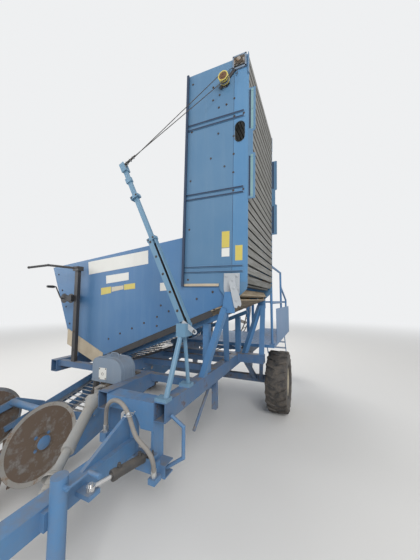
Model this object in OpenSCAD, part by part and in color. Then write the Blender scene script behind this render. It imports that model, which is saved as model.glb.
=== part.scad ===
// Trailed single-row potato harvester with a cross bunker and a folding unloading elevator.
// Millimetres. Travel is along -Y, +X is the machine's left (unloading) side, Z is up.
// The origin is on the ground, under the middle of the machine's length and width.

/* [Running gear] */
// Outer diameter of the tyres (11.5/80-15.3)
tyre_d = 845; // [780:5:860]
// Width of the tyres
tyre_w = 290; // [250:5:300]
// Seat diameter of the rims
rim_d = 400; // [380:5:420]
// Distance between the two wheel centres
track = 2390; // [2370:10:2430]
// Place of the axle along the machine
axle_y = 1050; // [1000:10:1080]
// Side of the square axle tube
axle_tube = 90; // [80:5:110]
// Diameter of the wheel spindles
spindle_d = 50; // [40:1:60]

/* [Frame] */
// Height of the top of the main beams
frame_top = 930; // [925:1:935]
// Width of a main beam
beam_w = 90; // [80:2:92]
// Depth of a main beam
beam_h = 125; // [110:5:140]
// Sheet of the box sections
wall = 6; // [4:1:10]
// Front ends of the beams
frame_front = -1335; // [-1350:5:-1330]
// Rear ends of the beams
frame_rear = 1890; // [1860:5:1900]
// Centre of the left beam
left_x = 770; // [760:5:780]
// Centre of the inner beam
inner_x = -190; // [-195:5:-185]
// Centre of the right beam
right_x = -997; // [-1000:1:-996]

/* [Hopper] */
// Front face of the front wall
hopper_front = -704; // [-710:1:-700]
// Length of the hopper between the outer faces of its walls
hopper_len = 1232; // [1180:4:1240]
// Sheet of the hopper walls
sheet = 4; // [3:0.5:6]
// Slope of the hopper floor, rising outwards
floor_slope = 21.7; // [21:0.1:22.5]
// Radius of the floor's slat loop, out to the slats
floor_r = 60; // [56:1:64]
// Distance between the two shafts of the floor
floor_l = 1500; // [1440:10:1510]

/* [Elevator] */
// Hinge of the elevator, across the machine
hinge_x = 1060; // [1050:5:1065]
// Hinge of the elevator, height
hinge_z = 1640; // [1630:5:1650]
// Outward lean of the raised elevator
lean = 1.2; // [0.5:0.1:2]
// Length of the side panels
elev_l = 2121; // [1900:10:2140]
// Width of the side panels
elev_w = 628; // [600:4:640]
// Outer edge of the panels, outside the hinge
elev_out = 142; // [138:1:146]
// Radius of the apron loop, out to the slats
apron_r = 86; // [80:1:88]
// Pitch of the slats
slat_pitch = 80; // [75:1:90]
// Width of a slat
slat_w = 62; // [50:1:68]
// Thickness of a slat
slat_t = 12; // [8:1:16]
// Diameter of the hinge pins
hinge_d = 40; // [30:1:44]

/* [Mast] */
// Base of the mast, height
mast_z = 1430; // [1400:5:1450]
// Length of the mast
mast_l = 1545; // [1400:5:1560]
// Inward lean of the mast
mast_lean = 25.5; // [24:0.1:27]
// Diameter of a rope fall
rope_d = 9; // [6:1:12]

/* [Digging unit] */
// Centre of the row, across the machine
row_x = -610; // [-612:1:-608]
// Inner width of the sieving channel
channel_w = 620; // [600:5:622]
// Lower shaft of the sieving web, along the machine
web_y = -1180; // [-1200:5:-1160]
// Lower shaft of the sieving web, height
web_z = 330; // [325:5:340]
// Upper shaft of the sieving web, along the machine
pivot_y = 1830; // [1800:5:1832]
// Upper shaft of the sieving web, height
pivot_z = 1060; // [1055:1:1064]
// Radius of the web loop at the middle of its rods
web_r = 80; // [70:1:84]
// Pitch of the web rods
rod_pitch = 60; // [50:1:80]
// Diameter of a web rod
rod_d = 11; // [8:1:14]
// Diameter of the disc coulters
coulter_d = 560; // [500:5:580]
// Largest diameter of the ridge roller
roller_d = 360; // [300:5:380]

/* [Ring elevator] */
// Outer radius of the ring
ring_r = 880; // [860:5:890]
// Width of the ring
ring_w = 320; // [300:5:330]
// Centre of the ring, across the machine
ring_x = -400; // [-410:5:-395]
// Centre of the ring, height
ring_z = 1430; // [1425:5:1440]
// Depth of the pocket blades
blade = 170; // [140:5:175]
// Number of pockets
pockets = 18; // [12:1:24]

/* [Picking platform] */
// Top of the platform floor
deck_z = 1000; // [990:5:1010]
// Rear edge of the platform
deck_rear = 2560; // [2540:5:2580]
// Outer edge of the platform
deck_out = 1200; // [1180:5:1210]
// Top of the picking belt
table_z = 1800; // [1790:5:1810]

/* [Drawbar] */
// Steering pin and drawbar centre, across the machine
bar_x = 500; // [490:5:510]
// Steering pin, along the machine
pin_y = -1270; // [-1275:5:-1265]
// Middle height of the drawbar
bar_z = 596; // [596:1:600]
// Place of the hitch eye's centre
eye_y = -2940; // [-2960:5:-2900]
// Bore of the hitch eye
eye_d = 50; // [40:1:56]
// Diameter of the steering pin
pin_d = 45; // [35:1:50]
// Diameter of the hydraulic hose
hose_d = 28; // [20:1:28]

/* [Hidden] */

blue = [0.16, 0.36, 0.62];
dark = [0.13, 0.13, 0.15];
steel = [0.55, 0.55, 0.55];
wood = [0.72, 0.68, 0.60];
gap = 0.3;          // seats between bodies that turn on each other
run_gap = 0.1;      // radial clearance of a pin in its eye
clear = 6;          // least distance between a moving piece and its neighbour
z_axle = tyre_d / 2;
web_a = atan2(pivot_z - web_z, pivot_y - web_y);
web_l = norm([pivot_y - web_y, pivot_z - web_z]);
hopper_rear = hopper_front + hopper_len;
elev_front = hopper_front - clear;        // inner face of the elevator's front side
elev_back = hopper_rear + clear;          // inner face of the elevator's rear side
elev_in = elev_out - elev_w;
elev_z0 = 76;                             // lower end of the side panels above the hinge
apron_x = elev_out - 2 - apron_r;         // shafts of the apron in the elevator's own frame
apron_z0 = elev_z0 + apron_r + 10;
apron_z1 = elev_z0 + elev_l - 25;
apron_l = apron_z1 - apron_r - apron_z0 + 60;
head_z = apron_z0 + apron_l;
portal_z0 = 460;
portal_z1 = frame_top - 100;
ring_y0 = frame_rear + 48;
outrig_y = 330;
stub_x = 270;       // short beam that carries the portal's right side
pivot_d = 40;       // shafts of the web, and the channel's pivot
plate_x = [right_x + 25, inner_x - 42];   // bearing plates of the pivot
steer_z = bar_z + 12 + gap + 13;
steer_a = [bar_x + 225, -1367, steer_z];
steer_b = [bar_x + 120, -1720, steer_z];
lift_x = row_x + channel_w / 2 + 30;
lift_a = [lift_x, -900, frame_top + 40];
joint_p = [90, -1225, 850];     // cross of the drive shaft's rear joint
shaft_end = [393, -1830, 560];  // point that the shaft runs through at its front
shaft_u = (shaft_end - joint_p) / norm(shaft_end - joint_p);
lift_b = [lift_x, web_y + 245, web_z + 245];

// Route of the hose from the portal's valve block to the socket on its foot
hose_path = [[344, -1368, 680], [344, -1368, 720], [350, -1374, 775], [366, -1388, 830], [396, -1406, 880],
    [440, -1422, 918], [492, -1434, 938], [545, -1440, 932], [590, -1444, 902], [622, -1444, 856],
    [646, -1444, 804], [674, -1444, 758], [712, -1442, 724], [752, -1436, 692], [780, -1426, 650],
    [786, -1412, 600], [780, -1398, 560], [776, -1392, 536], [776, -1392, 512]];
hose_end = hose_path[len(hose_path) - 1];

// Height of the underside of the hopper floor's bearers and of the slope's ribs
function bearer_z(x) = hinge_z - (floor_r + 37) / cos(floor_slope) - (hinge_x - x) * tan(floor_slope);
function rib_z(x) = 1215 - (x + 1030) * 230 / 590;

// Basic shapes

// Round bar from one point to another
module rod(a, b, d) {
    v = b - a;
    translate(a) rotate([0, acos(v.z / norm(v)), atan2(v.y, v.x)]) cylinder(d = d, h = norm(v));
}

// Box bar from one point to another, w across and h in the plane of the bar and Z
module bar(a, b, w, h) {
    v = b - a;
    translate(a) rotate([0, acos(v.z / norm(v)), atan2(v.y, v.x)])
        translate([-h / 2, -w / 2, 0]) cube([h, w, norm(v)]);
}

// Hollow box bar
module tube(a, b, w, h, t = wall) {
    u = (b - a) / norm(b - a);
    difference() {
        bar(a, b, w, h);
        bar(a - u, b + u, w - 2 * t, h - 2 * t);
    }
}

// Plate with an outline in X and Z, from y on
module plate_xz(points, y, t) {
    translate([0, y + t, 0]) rotate([90, 0, 0]) linear_extrude(t) polygon(points);
}

// Plate with an outline in Y and Z, from x on
module plate_yz(points, x, t) {
    translate([x, 0, 0]) rotate([90, 0, 90]) linear_extrude(t) polygon(points);
}

// Round pieces along X and along Y, centred on a point
module along_x(p, d, l) translate(p) rotate([0, 90, 0]) cylinder(d = d, h = l, center = true);
module along_y(p, d, l) translate(p) rotate([90, 0, 0]) cylinder(d = d, h = l, center = true);

// Outline of a loop round two shafts l apart
module loop_2d(l, r) {
    circle(r, $fn = 48);
    translate([l, 0]) circle(r, $fn = 48);
    translate([0, -r]) square([l, 2 * r]);
}

// Place and turn of a point at distance s along that loop: [along, across, angle]
function on_loop(s, l, r) =
    s < l ? [s, r, 0] :
    s < l + PI * r ? [l + r * sin((s - l) / r * 180 / PI), r * cos((s - l) / r * 180 / PI),
                      -(s - l) / r * 180 / PI] :
    s < 2 * l + PI * r ? [2 * l + PI * r - s, -r, -180] :
    [-r * sin((s - 2 * l - PI * r) / r * 180 / PI), -r * cos((s - 2 * l - PI * r) / r * 180 / PI),
     -180 - (s - 2 * l - PI * r) / r * 180 / PI];

// Loop of slats on two chains; the loop lies in XY from the origin along X, the slats along Z
module slat_loop(l, r, width) {
    total = 2 * l + 2 * PI * (r - slat_t);
    count = floor(total / slat_pitch);
    band_r = r - slat_t + 2;
    for (z = [40, width - 65]) translate([0, 0, z]) linear_extrude(25) difference() {
        loop_2d(l, band_r);
        loop_2d(l, band_r - 18);
    }
    for (i = [0 : count - 1]) {
        p = on_loop((i + 0.5) * total / count, l, r - slat_t);
        translate([p.x, p.y, 0]) rotate(p.z) translate([-slat_w / 2, 0, 0]) cube([slat_w, slat_t, width]);
    }
}

// Frame

module main_frame() color(blue) {
    z = frame_top - beam_h / 2;
    // longitudinal beams: centre, front end, rear end
    for (b = [[left_x, frame_front, frame_rear], [inner_x, -860, frame_rear],
              [right_x, -860, frame_rear], [stub_x, frame_front, -770]])
        tube([b[0], b[1], z], [b[0], b[2], z], beam_w, beam_h);
    // cross tubes: place along the machine, from x, to x
    for (c = [[-800, right_x, left_x], [60, inner_x, left_x], [-330, inner_x, left_x],
              [frame_rear - 50, right_x, left_x]])
        tube([c[1], c[0], frame_top - 35], [c[2], c[0], frame_top - 35], 60, 60);
    // outrigger under the elevator's rear hinge
    tube([inner_x, outrig_y, frame_top - 50], [1125, outrig_y, frame_top - 50], 100, 100);
    // lugs and pin of the lift cylinder
    for (x = [-28, 18])
        plate_yz([[-925, 945], [-925, 990], [-890, 995], [-790, 930], [-825, 880], [-860, 900]],
                 lift_x + x, 10);
    along_x(lift_a, 25, 56);
    // hanging leg and stay under the left beam
    tube([left_x - 20, -345, frame_top - beam_h + 5], [left_x - 20, -345, 500], 50, 50);
    rod([left_x - 50, -420, 740], [left_x - 50, -750, 470], 28);
    plate_yz([[-460, 730], [-330, 690], [-330, 820], [-460, 820]], left_x - 60, 20);
}

module axle_beam() color(blue) {
    half = track / 2 - tyre_w / 2 - 25;
    difference() {
        translate([-half, axle_y - axle_tube / 2, z_axle - axle_tube / 2])
            cube([2 * half, axle_tube, axle_tube]);
        translate([-half + 20, axle_y - axle_tube / 2 + wall, z_axle - axle_tube / 2 + wall])
            cube([2 * half - 40, axle_tube - 2 * wall, axle_tube - 2 * wall]);
    }
    for (s = [-1, 1]) {
        along_x([s * (half + 60), axle_y, z_axle], spindle_d, 2 * (60 + 10));
        along_x([s * (half + 4), axle_y, z_axle], 110, 28);
    }
    // struts up to the outrigger's rear face
    difference() {
        for (x = [[930, 1090], [850, 850]])
            bar([x[0], axle_y - 20, z_axle], [x[1], outrig_y, 905], 50, 50);
        translate([700, outrig_y - 150, z_axle]) cube([500, 200, 700]);
    }
    // uprights to the three beams
    for (x = [left_x, inner_x, right_x])
        plate_yz([[axle_y - 140, frame_top - beam_h], [axle_y + 140, frame_top - beam_h],
                  [axle_y + 40, z_axle + 30], [axle_y - 40, z_axle + 30]], x - 10, 20);
}

module front_portal() color(blue) {
    x0 = stub_x + beam_w / 2;
    x1 = left_x - beam_w / 2;
    y0 = frame_front + 5;
    z2 = portal_z1 + 90;
    difference() {
        union() {
            // channels between the side plates, open to the rear
            difference() {
                translate([x0, y0, portal_z1]) cube([x1 - x0, 115, 90]);
                translate([x0 - 1, y0 + wall, portal_z1 + wall]) cube([x1 - x0 + 2, 120, 90 - 2 * wall]);
            }
            difference() {
                translate([x0, y0 + 10, portal_z0]) cube([x1 - x0 + 85, 95, 80]);
                translate([x0 - 1, y0 + 10 + wall, portal_z0 + wall]) cube([x1 - x0 + 90, 100, 80 - 2 * wall]);
            }
            for (x = [x0, x1 - 20])
                plate_yz([[y0, portal_z0], [y0 + 115, portal_z0], [y0 + 115, z2], [y0, z2]], x, 20);
            // blocks that hold the pin
            translate([bar_x - 60, pin_y - 52, portal_z0]) cube([120, 95, 80]);
            translate([bar_x - 60, pin_y - 52, portal_z1]) cube([120, 95, 90]);
            // front plate with its curved lower edge
            difference() {
                translate([x0, y0 - 7, portal_z1 - 90]) cube([x1 - x0, 8, 180]);
                along_y([bar_x - 45, y0, portal_z1 - 130], 340, 60);
            }
            // foot with its lug at the left end, and the lug of the steering cylinder
            plate_yz([[y0 - 45, portal_z0], [y0 + 15, portal_z0], [y0 + 15, portal_z0 + 110],
                      [y0 - 15, portal_z0 + 110]], x1 + 30, 16);
            translate([x1 - 30, steer_a.y - 28, steer_z - 13 - gap - 16]) cube([60, y0 - steer_a.y + 38, 16]);
            // valve block and foot socket of the hose
            translate([x0 + 3, y0 - 65, hose_path[0].z - 60]) cube([54, 67, 60]);
            translate([x1 + 27, y0 - 88, hose_end.z - 34]) cube([50, 68, 34]);
        }
        translate([bar_x, pin_y, portal_z0 - 1]) cylinder(d = pin_d - 8, h = 30);
    }
    // steering pin, and the pin of the cylinder
    translate([bar_x, pin_y, portal_z0 + 5]) cylinder(d = pin_d, h = portal_z1 - portal_z0 + 60);
    translate([steer_a.x, steer_a.y, steer_z - 25]) cylinder(d = 25, h = 50);
    // hoop on the left side
    hoop = [[left_x + beam_w / 2 + 6, 834], [915, 780], [915, 590], [left_x + 20, 500]];
    for (i = [0 : 2]) rod([hoop[i].x, y0 + 60, hoop[i].y], [hoop[i + 1].x, y0 + 60, hoop[i + 1].y], 24);
    for (i = [1 : 2]) translate([hoop[i].x, y0 + 60, hoop[i].y]) sphere(d = 26);
}

module gearbox() {
    color(steel) {
        translate([-60, -1060, 730]) cube([260, 230, 200]);
        along_y([90, -1090, 850], 90, 80);
        // shaft with the fork of the joint and its pin
        along_y([90, -1150, 850], 35, 60);
        translate(joint_p + [-30, 30, -50]) cube([60, 30, 100]);
        for (z = [-50, 38]) translate(joint_p + [0, 0, z]) {
            cylinder(d = 48, h = 12);
            translate([-24, 0, 0]) cube([48, 34, 12]);
        }
        translate(joint_p + [0, 0, -45]) cylinder(d = 20, h = 90);
        translate([199, -1000, 760]) cube([stub_x - beam_w / 2 - 199, 120, 140]);
    }
    color([0.45, 0.50, 0.56]) difference() {
        translate([-95, -1120, 930]) cube([330, 320, 190]);
        translate([-95 + sheet, -1120 + sheet, 929]) cube([330 - 2 * sheet, 320 - 2 * sheet, 191 - sheet]);
    }
}

// Rear half of the drive shaft, with its eye on the joint's pin
module pto_tube() difference() {
    union() {
        color([0.62, 0.63, 0.64]) rod(joint_p + 70 * shaft_u, joint_p + 470 * shaft_u, 74);
        color(steel) translate(joint_p - [0, 0, 38 - gap]) cylinder(d = 44, h = 76 - 2 * gap);
        color(steel) bar(joint_p + 5 * shaft_u, joint_p + 80 * shaft_u, 32, 40);
    }
    translate(joint_p - [0, 0, 50]) cylinder(d = 20 + 2 * run_gap, h = 100);
    rod(joint_p + 150 * shaft_u, joint_p + 480 * shaft_u, 54 + 2 * gap);
}

// Front half with its joint and the bored yoke for the tractor's stub shaft
module pto_yoke() {
    j = joint_p + 668 * shaft_u;
    color([0.62, 0.63, 0.64]) rod(joint_p + 262 * shaft_u, joint_p + 640 * shaft_u, 54);
    color(steel) difference() {
        union() {
            bar(joint_p + 630 * shaft_u, j, 34, 50);
            rod(j - 28 * shaft_u, j + 24 * shaft_u, 46);
            bar(j, j + 50 * shaft_u, 50, 34);
            rod(j + 40 * shaft_u, j + 105 * shaft_u, 62);
        }
        rod(j + 45 * shaft_u, j + 110 * shaft_u, 35);
    }
}

// Hopper

// Outlines in X and Z
wall_front = [[-1333, 2010], [-1010, 1240], [-420, 1000], [1010, 1569], [1010, 1700], [640, 2209]];
table_x0 = -850;
table_x1 = -250;
wall_rear = [[-1333, 2010], [-1010, 1240], [-420, 1000], [1010, 1569], [1010, 1700], [640, 2209],
    [table_x1 + 60, 2128], [table_x1 + 60, 1650], [table_x0 - 60, 1650], [table_x0 - 60, 2052]];

module hopper_front_wall() color(blue) {
    plate_xz(wall_front, hopper_front, sheet);
    // rolled top edge and the two wall posts inside
    bar([-1308, hopper_front + 15, 2002], [632, hopper_front + 15, 2197], 26, 24);
}

module hopper_rear_wall() color(blue) {
    y = hopper_rear - sheet;
    plate_xz(wall_rear, y, sheet);
    bar([-1308, y - 11, 2002], [table_x0 - 64, y - 11, 2041], 26, 24);
    bar([table_x1 + 64, y - 11, 2116], [632, y - 11, 2197], 26, 24);
}

module hopper_slope() color(blue) {
    y0 = hopper_front + sheet;
    t = sheet;
    plate_xz([[-1333, 2010], [-1010, 1240], [-420, 1000], [-420 + 2, 1000 + t],
              [-1010 + t, 1240 + t], [-1333 + t + 1, 2010]], y0, hopper_len - 2 * sheet);
    for (y = [hopper_front + 110, hopper_rear - 130])
        plate_xz([[-1333, 2010], [-1010, 1240], [-420, 1000], [-440, rib_z(-440)], [-1030, rib_z(-1030)],
                  [-1345, 1985]], y, 20);
}

module hopper_floor() color(wood) {
    c = [cos(floor_slope), sin(floor_slope)];
    translate([hinge_x - floor_l * c.x, hopper_rear - sheet - 2, hinge_z - floor_l * c.y])
        rotate([90, 0, 0]) rotate(floor_slope) {
            slat_loop(floor_l, floor_r, hopper_len - 2 * sheet - 4);
            // shafts with their sprockets
            for (s = [0, floor_l]) translate([s, 0, 0]) {
                translate([0, 0, -2 + gap]) cylinder(d = 34, h = hopper_len - 2 * sheet - 2 * gap);
                for (z = [42, hopper_len - 2 * sheet - 67])
                    translate([0, 0, z]) cylinder(r = floor_r - slat_t - 16 - gap, h = 21);
            }
        }
}

module hopper_legs() color(blue) {
    // front: hinge plate, pin and two legs down to the left beam
    y = elev_front - 60;
    yr = elev_back + 60;
    plate = [[hinge_x - 70, hinge_z - 150], [hinge_x + 45, hinge_z - 150], [hinge_x + 40, hinge_z + 30],
             [hinge_x - 40, hinge_z + 30]];
    plate_xz(plate, y, 16);
    along_y([hinge_x, (y + hopper_front) / 2 + 2, hinge_z], hinge_d, hopper_front - y + 4);
    // rear: the same plate, on two posts from the outrigger
    plate_xz(plate, yr - 16, 16);
    along_y([hinge_x, (yr + hopper_rear) / 2 - 2, hinge_z], hinge_d, yr - hopper_rear + 4);
    difference() {
        union() {
            for (f = [-60, y + 40])
                tube([left_x + 10, f, frame_top - 40], [hinge_x - 40, y + 8, hinge_z - 110], 55, 50);
            tube([1090, outrig_y + 5, frame_top - 40], [hinge_x + 10, yr - 20, hinge_z - 120], 60, 50);
            tube([865, outrig_y + 5, frame_top - 40], [hinge_x - 30, yr - 20, hinge_z - 120], 60, 50);
            // bearers under the floor, on uprights
            for (yy = [hopper_front + 120, hopper_rear - 120]) {
                bar([-250, yy, bearer_z(-250) - 25], [900, yy, bearer_z(900) - 25], 50, 46);
                for (x = [inner_x, left_x])
                    translate([x - 30, yy - 30, frame_top - 5]) cube([60, 60, bearer_z(x) - frame_top - 40]);
                plate_xz([[-1015, frame_top - 5], [-935, frame_top - 5], [-920, rib_z(-920) - gap],
                          [-1010, rib_z(-1010) - gap]], yy - 25, 50);
            }
        }
        translate([-1200, -900, frame_top - 200]) cube([2500, 1600, 200]);
    }
}

module rubber_skirt() color([0.66, 0.60, 0.50])
    plate_xz([[-1000, 1260], [-425, 1025], [-425, 870], [-1000, 1080]], hopper_front - 6, 6);

// Mast and ropes

mast_y = -1075;
mast_x = 815;
mast_u = [-sin(mast_lean), 0, cos(mast_lean)];
mast_tip = [mast_x, mast_y, mast_z] + mast_l * mast_u;
pulley = [hinge_x, elev_front - 60, hinge_z]
    + [-83 * cos(lean) + 2000 * sin(lean), 0, 83 * sin(lean) + 2000 * cos(lean)];

module mast_tripod() color(blue) {
    // legs: foot, top
    rod([mast_x - 20, frame_front + 35, frame_top + 10], [mast_x - 20, mast_y - 25, mast_z - 60], 38);
    rod([mast_x - 20, mast_y + 85, frame_top + 10], [mast_x - 20, mast_y + 15, mast_z - 60], 30);
    translate([mast_x - 46, mast_y - 65, mast_z - 100]) cube([80, 105, 95]);
    for (y = [frame_front + 35, mast_y + 85])
        translate([left_x - 40, y - 35, frame_top]) cube([92, 70, 26]);
}

module mast() color(blue) {
    lower = mast_l * 0.5;
    translate([mast_x, mast_y, mast_z - 5]) difference() {
        rotate([0, -mast_lean, 0]) {
            // channel open to the front below, flat bar above
            difference() {
                translate([-35, -20, -30]) cube([70, 40, lower + 30]);
                translate([-29, -21, -31]) cube([58, 35, lower + 40]);
                for (z = [120 : 110 : lower - 60]) along_y([0, 0, z], 14, 60);
            }
            translate([-20, -8, lower - 60]) cube([40, 23, mast_l - lower + 32]);
            // clamp and sheave cheeks at the tip
            translate([-28, -16, mast_l * 0.88]) cube([56, 34, 50]);
            for (y = [-23, 28]) translate([-26, y, mast_l - 60]) cube([52, 8, 90]);
            translate([-24, -21, mast_l - 58]) cube([48, 55, 28]);
            along_y([0, 6.5, mast_l + 5], 16, 57);
        }
        translate([-100, -100, -100]) cube([200, 200, 100]);
    }
}

tip_pin = mast_tip + 5 * mast_u - [0, 0, 5];

// One fall with its eye on pin a, towards pin b, beside the other fall
module rope_fall(a, b, side) {
    v = b - a;
    n = [0, side, 0];
    color(steel) difference() {
        along_y(a + n, 40, 8);
        along_y(a + n, 16 + 2 * run_gap, 10);
    }
    color([0.35, 0.33, 0.30]) rod(a + n + 14 * v / norm(v), b + n - 60 * v / norm(v), rope_d);
}

module rope_mast_fall() rope_fall(tip_pin, pulley, 8);
module rope_elevator_fall() rope_fall(pulley, tip_pin, -8);

module hose_post() color(dark) {
    arm = [[-750, -800, 1960], [-1080, -930, 2000], [-1300, -1010, 1975]];
    translate([-775, -820, frame_top - 5]) cube([50, 40, 1035]);
    translate([-795, -835, 1930]) cube([90, 70, 50]);
    for (i = [0, 1]) rod(arm[i], arm[i + 1], 26);
    for (i = [1, 2]) translate(arm[i]) sphere(d = 30);
}

// Elevator, built round its hinge and then leaned

module elevator_place() translate([hinge_x, 0, hinge_z]) rotate([0, lean, 0]) children();

// One side panel with its inner face at y = 0 and its ribs towards -Y
module elevator_side() {
    t = 4;
    difference() {
        union() {
            plate_xz([[elev_in, elev_z0], [elev_in, elev_z0 + elev_l], [elev_out, elev_z0 + elev_l],
                      [elev_out, elev_z0]], -t, t);
            // ear down to the hinge
            plate_xz([[-110, elev_z0 + 40], [elev_out - 4, elev_z0 + 40], [elev_out - 4, elev_z0 - 20],
                      [46, -30], [0, -48], [-46, -30], [-110, elev_z0 - 20]], -t - 8, 9);
            along_y([0, -t - 4, 0], 80, 8);
            // flange along the inner edge, angle at the top outer corner
            translate([elev_in, -t - 24, elev_z0]) cube([6, 25, elev_l]);
            translate([elev_out - 6, -t - 22, elev_z0 + elev_l - 190]) cube([6, 23, 190]);
            // pressed ribs
            for (z = [0.105, 0.437, 0.772] * elev_l) {
                for (dz = [-24, 24])
                    translate([elev_in + 5, -t - 9, elev_z0 + z + dz - 10]) cube([elev_w - 40, 10, 20]);
            }
            // lapped strip near the outer edge
            translate([elev_out - 130, -t - 3, elev_z0]) cube([20, 4, elev_l - 140]);
        }
        along_y([0, 0, 0], hinge_d + 2 * run_gap, 60);
        // hand hole
        for (z = [-50, 50]) along_y([elev_out - 82, 0, elev_z0 + 1400 + z], 96, 60);
        translate([elev_out - 82 - 48, -30, elev_z0 + 1350]) cube([96, 60, 100]);
        // head shaft
        along_y([apron_x, 0, head_z], 52, 60);
    }
    // guard strip outside the apron's edge
    difference() {
        translate([elev_out - 2, -t - 6, elev_z0 + 760]) cube([26, 6, 1020]);
        for (z = [800, 1400]) translate([elev_out + 4, -t - 8, elev_z0 + z]) cube([12, 10, 340]);
    }
}

module elevator_front_side() color(blue) elevator_place() translate([0, elev_front, 0]) elevator_side();
module elevator_rear_side() color(blue)
    elevator_place() translate([0, elev_back, 0]) mirror([0, 1, 0]) elevator_side();

module elevator_apron() color(wood) elevator_place()
    translate([apron_x, elev_back - 3, apron_z0]) rotate([90, 0, 0]) rotate(90)
        slat_loop(apron_l, apron_r, elev_back - elev_front - 6);

module elevator_head() elevator_place() {
    color(steel) {
        // head and foot shafts with their bearings
        along_y([apron_x, (elev_front + elev_back) / 2, head_z], 40, elev_back - elev_front + 90);
        for (y = [elev_front - 4 - 22, elev_back + 4])
            translate([apron_x - 50, y, head_z - 40]) cube([100, 22, 80]);
        along_y([apron_x, (elev_front + elev_back) / 2, apron_z0], 40, elev_back - elev_front - 2 * gap);
        for (y = [elev_front + 55.5, elev_back - 55.5], z = [apron_z0, head_z])
            along_y([apron_x, y, z], 2 * (apron_r - slat_t - 16 - gap), 21);
    }
    // pulley on its bracket
    color([0.62, 0.55, 0.28]) {
        difference() {
            along_y([-83, elev_front - 35, 2000], 92, 18);
            along_y([-83, elev_front - 35, 2000], 16 + 2 * run_gap, 30);
        }
    }
    color(steel) {
        along_y([-83, elev_front - 42, 2000], 16, 76);
        translate([-105, elev_front - 9, 1950]) cube([44, 5, 100]);
    }
}

// Wheels

module tyre() color(dark) rotate([0, 90, 0]) {
    w = tyre_w / 2;
    r = tyre_d / 2;
    bead = rim_d / 2;
    rotate_extrude($fn = 96) polygon([[bead, -w * 0.72], [bead + 24, -w * 0.72], [bead + 40, -w * 0.93],
        [bead + 90, -w], [r - 60, -w * 0.96], [r - 24, -w * 0.84], [r - 12, -w * 0.5],
        [r - 12, w * 0.5], [r - 24, w * 0.84], [r - 60, w * 0.96], [bead + 90, w],
        [bead + 40, w * 0.93], [bead + 24, w * 0.72], [bead, w * 0.72]]);
    // tread lugs, cut to the tyre's diameter
    intersection() {
        for (i = [0 : 19], s = [-1, 1]) rotate(i * 18 + (s > 0 ? 9 : 0)) translate([r - 36, 0, 0])
            rotate([s * 26, 0, 0]) translate([0, -15, s > 0 ? 8 : -w * 0.9]) cube([40, 30, w * 0.82]);
        cylinder(r = r, h = 2 * w * 0.9, center = true);
    }
}

// Rim with its disc towards +X, centre bore for the spindle
module rim() color([0.80, 0.78, 0.70]) rotate([0, 90, 0]) difference() {
    w = tyre_w / 2 * 0.72;
    seat = rim_d / 2 - gap;
    rotate_extrude($fn = 96) polygon([[seat - 4, -w - 8], [seat + 20, -w - 8], [seat + 20, -w - gap],
        [seat, -w - gap], [seat, w + gap], [seat + 20, w + gap], [seat + 20, w + 8], [seat - 8, w + 8],
        [seat - 8, 30], [110, 52], [60, 42], [60, 90], [0, 90], [0, -40], [60, -40], [60, 28],
        [110, 40], [seat - 14, 18], [seat - 8, 12], [seat - 8, -w - 8]]);
    translate([0, 0, -60]) cylinder(d = spindle_d + 2 * run_gap, h = 140);
    for (i = [0 : 4]) rotate(i * 72) translate([86, 0, 0]) cylinder(d = 16, h = 80);
}

module wheel_at(s) translate([s * track / 2, axle_y, z_axle]) rotate([0, 0, s > 0 ? 0 : 180]) children();
module wheel_left_tyre() wheel_at(1) tyre();
module wheel_left_rim() wheel_at(1) rim();
module wheel_right_tyre() wheel_at(-1) tyre();
module wheel_right_rim() wheel_at(-1) rim();

// Sieving channel, which turns on the upper shaft

channel_x0 = row_x - channel_w / 2;
channel_x1 = row_x + channel_w / 2;

// Places the web's own frame: along X' up the channel from the lower shaft, Y' across it upwards
module on_channel(x) translate([x, web_y, web_z]) rotate([90, 0, 90]) rotate(web_a) children();

module channel_side() linear_extrude(5) difference() {
    polygon([[-150, -60], [60, -130], [web_l - 200, -130], [web_l + 50, -50], [web_l + 50, 60],
             [web_l - 40, 150], [-40, 150]]);
    // windows between the strands' rails
    for (i = [0 : 4]) translate([420 + i * 520, -22]) square([240, 44]);
}

module channel_sides() color(blue) {
    for (x = [channel_x0 - 5, channel_x1]) on_channel(x) channel_side();
    // cross tubes between the strands
    for (s = [300, 1300, 2300])
        on_channel(channel_x0 - 1) translate([s, 0, 0]) cylinder(d = 42, h = channel_w + 2);
    // lower shaft, and the upper one that reaches into the bearing plates
    on_channel(channel_x0 - 30) cylinder(d = pivot_d, h = channel_w + 60);
    on_channel(plate_x[0] - 4) translate([web_l, 0, 0])
        cylinder(d = pivot_d, h = plate_x[1] - plate_x[0] + 20);
    for (x = [channel_x0 - 20, channel_x1]) on_channel(x) translate([web_l, 0, 0]) cylinder(d = 90, h = 20);
    // rails for the lift and the arms
    for (x = [channel_x0 - 25 + gap, channel_x1 + 4])
        on_channel(x) translate([-130, 92, 0]) cube([890, 48, 21 - gap]);
    // seat of the lift's rod eye
    translate([channel_x1 + 6, lift_b.y - 25, lift_b.z - 70]) cube([48, 50, 70 - 23 - gap]);
}

module sieve_web() color(steel) on_channel(channel_x0 + 6) {
    total = 2 * web_l + 2 * PI * web_r;
    count = floor(total / rod_pitch);
    for (i = [0 : count - 1]) {
        p = on_loop(i * total / count, web_l, web_r);
        translate([p.x, p.y, 6]) cylinder(d = rod_d, h = channel_w - 24, $fn = 6);
    }
    for (z = [0, channel_w - 12 - 45]) translate([0, 0, z]) linear_extrude(45) difference() {
        loop_2d(web_l, web_r + 4);
        loop_2d(web_l, web_r - 4);
    }
    // drums on the two shafts
    for (s = [0, web_l], z = [60, channel_w - 112]) translate([s, 0, z]) difference() {
        cylinder(r = web_r - 4 - gap, h = 40);
        translate([0, 0, -1]) cylinder(d = 40 + 2 * run_gap, h = 42);
    }
}

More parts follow.
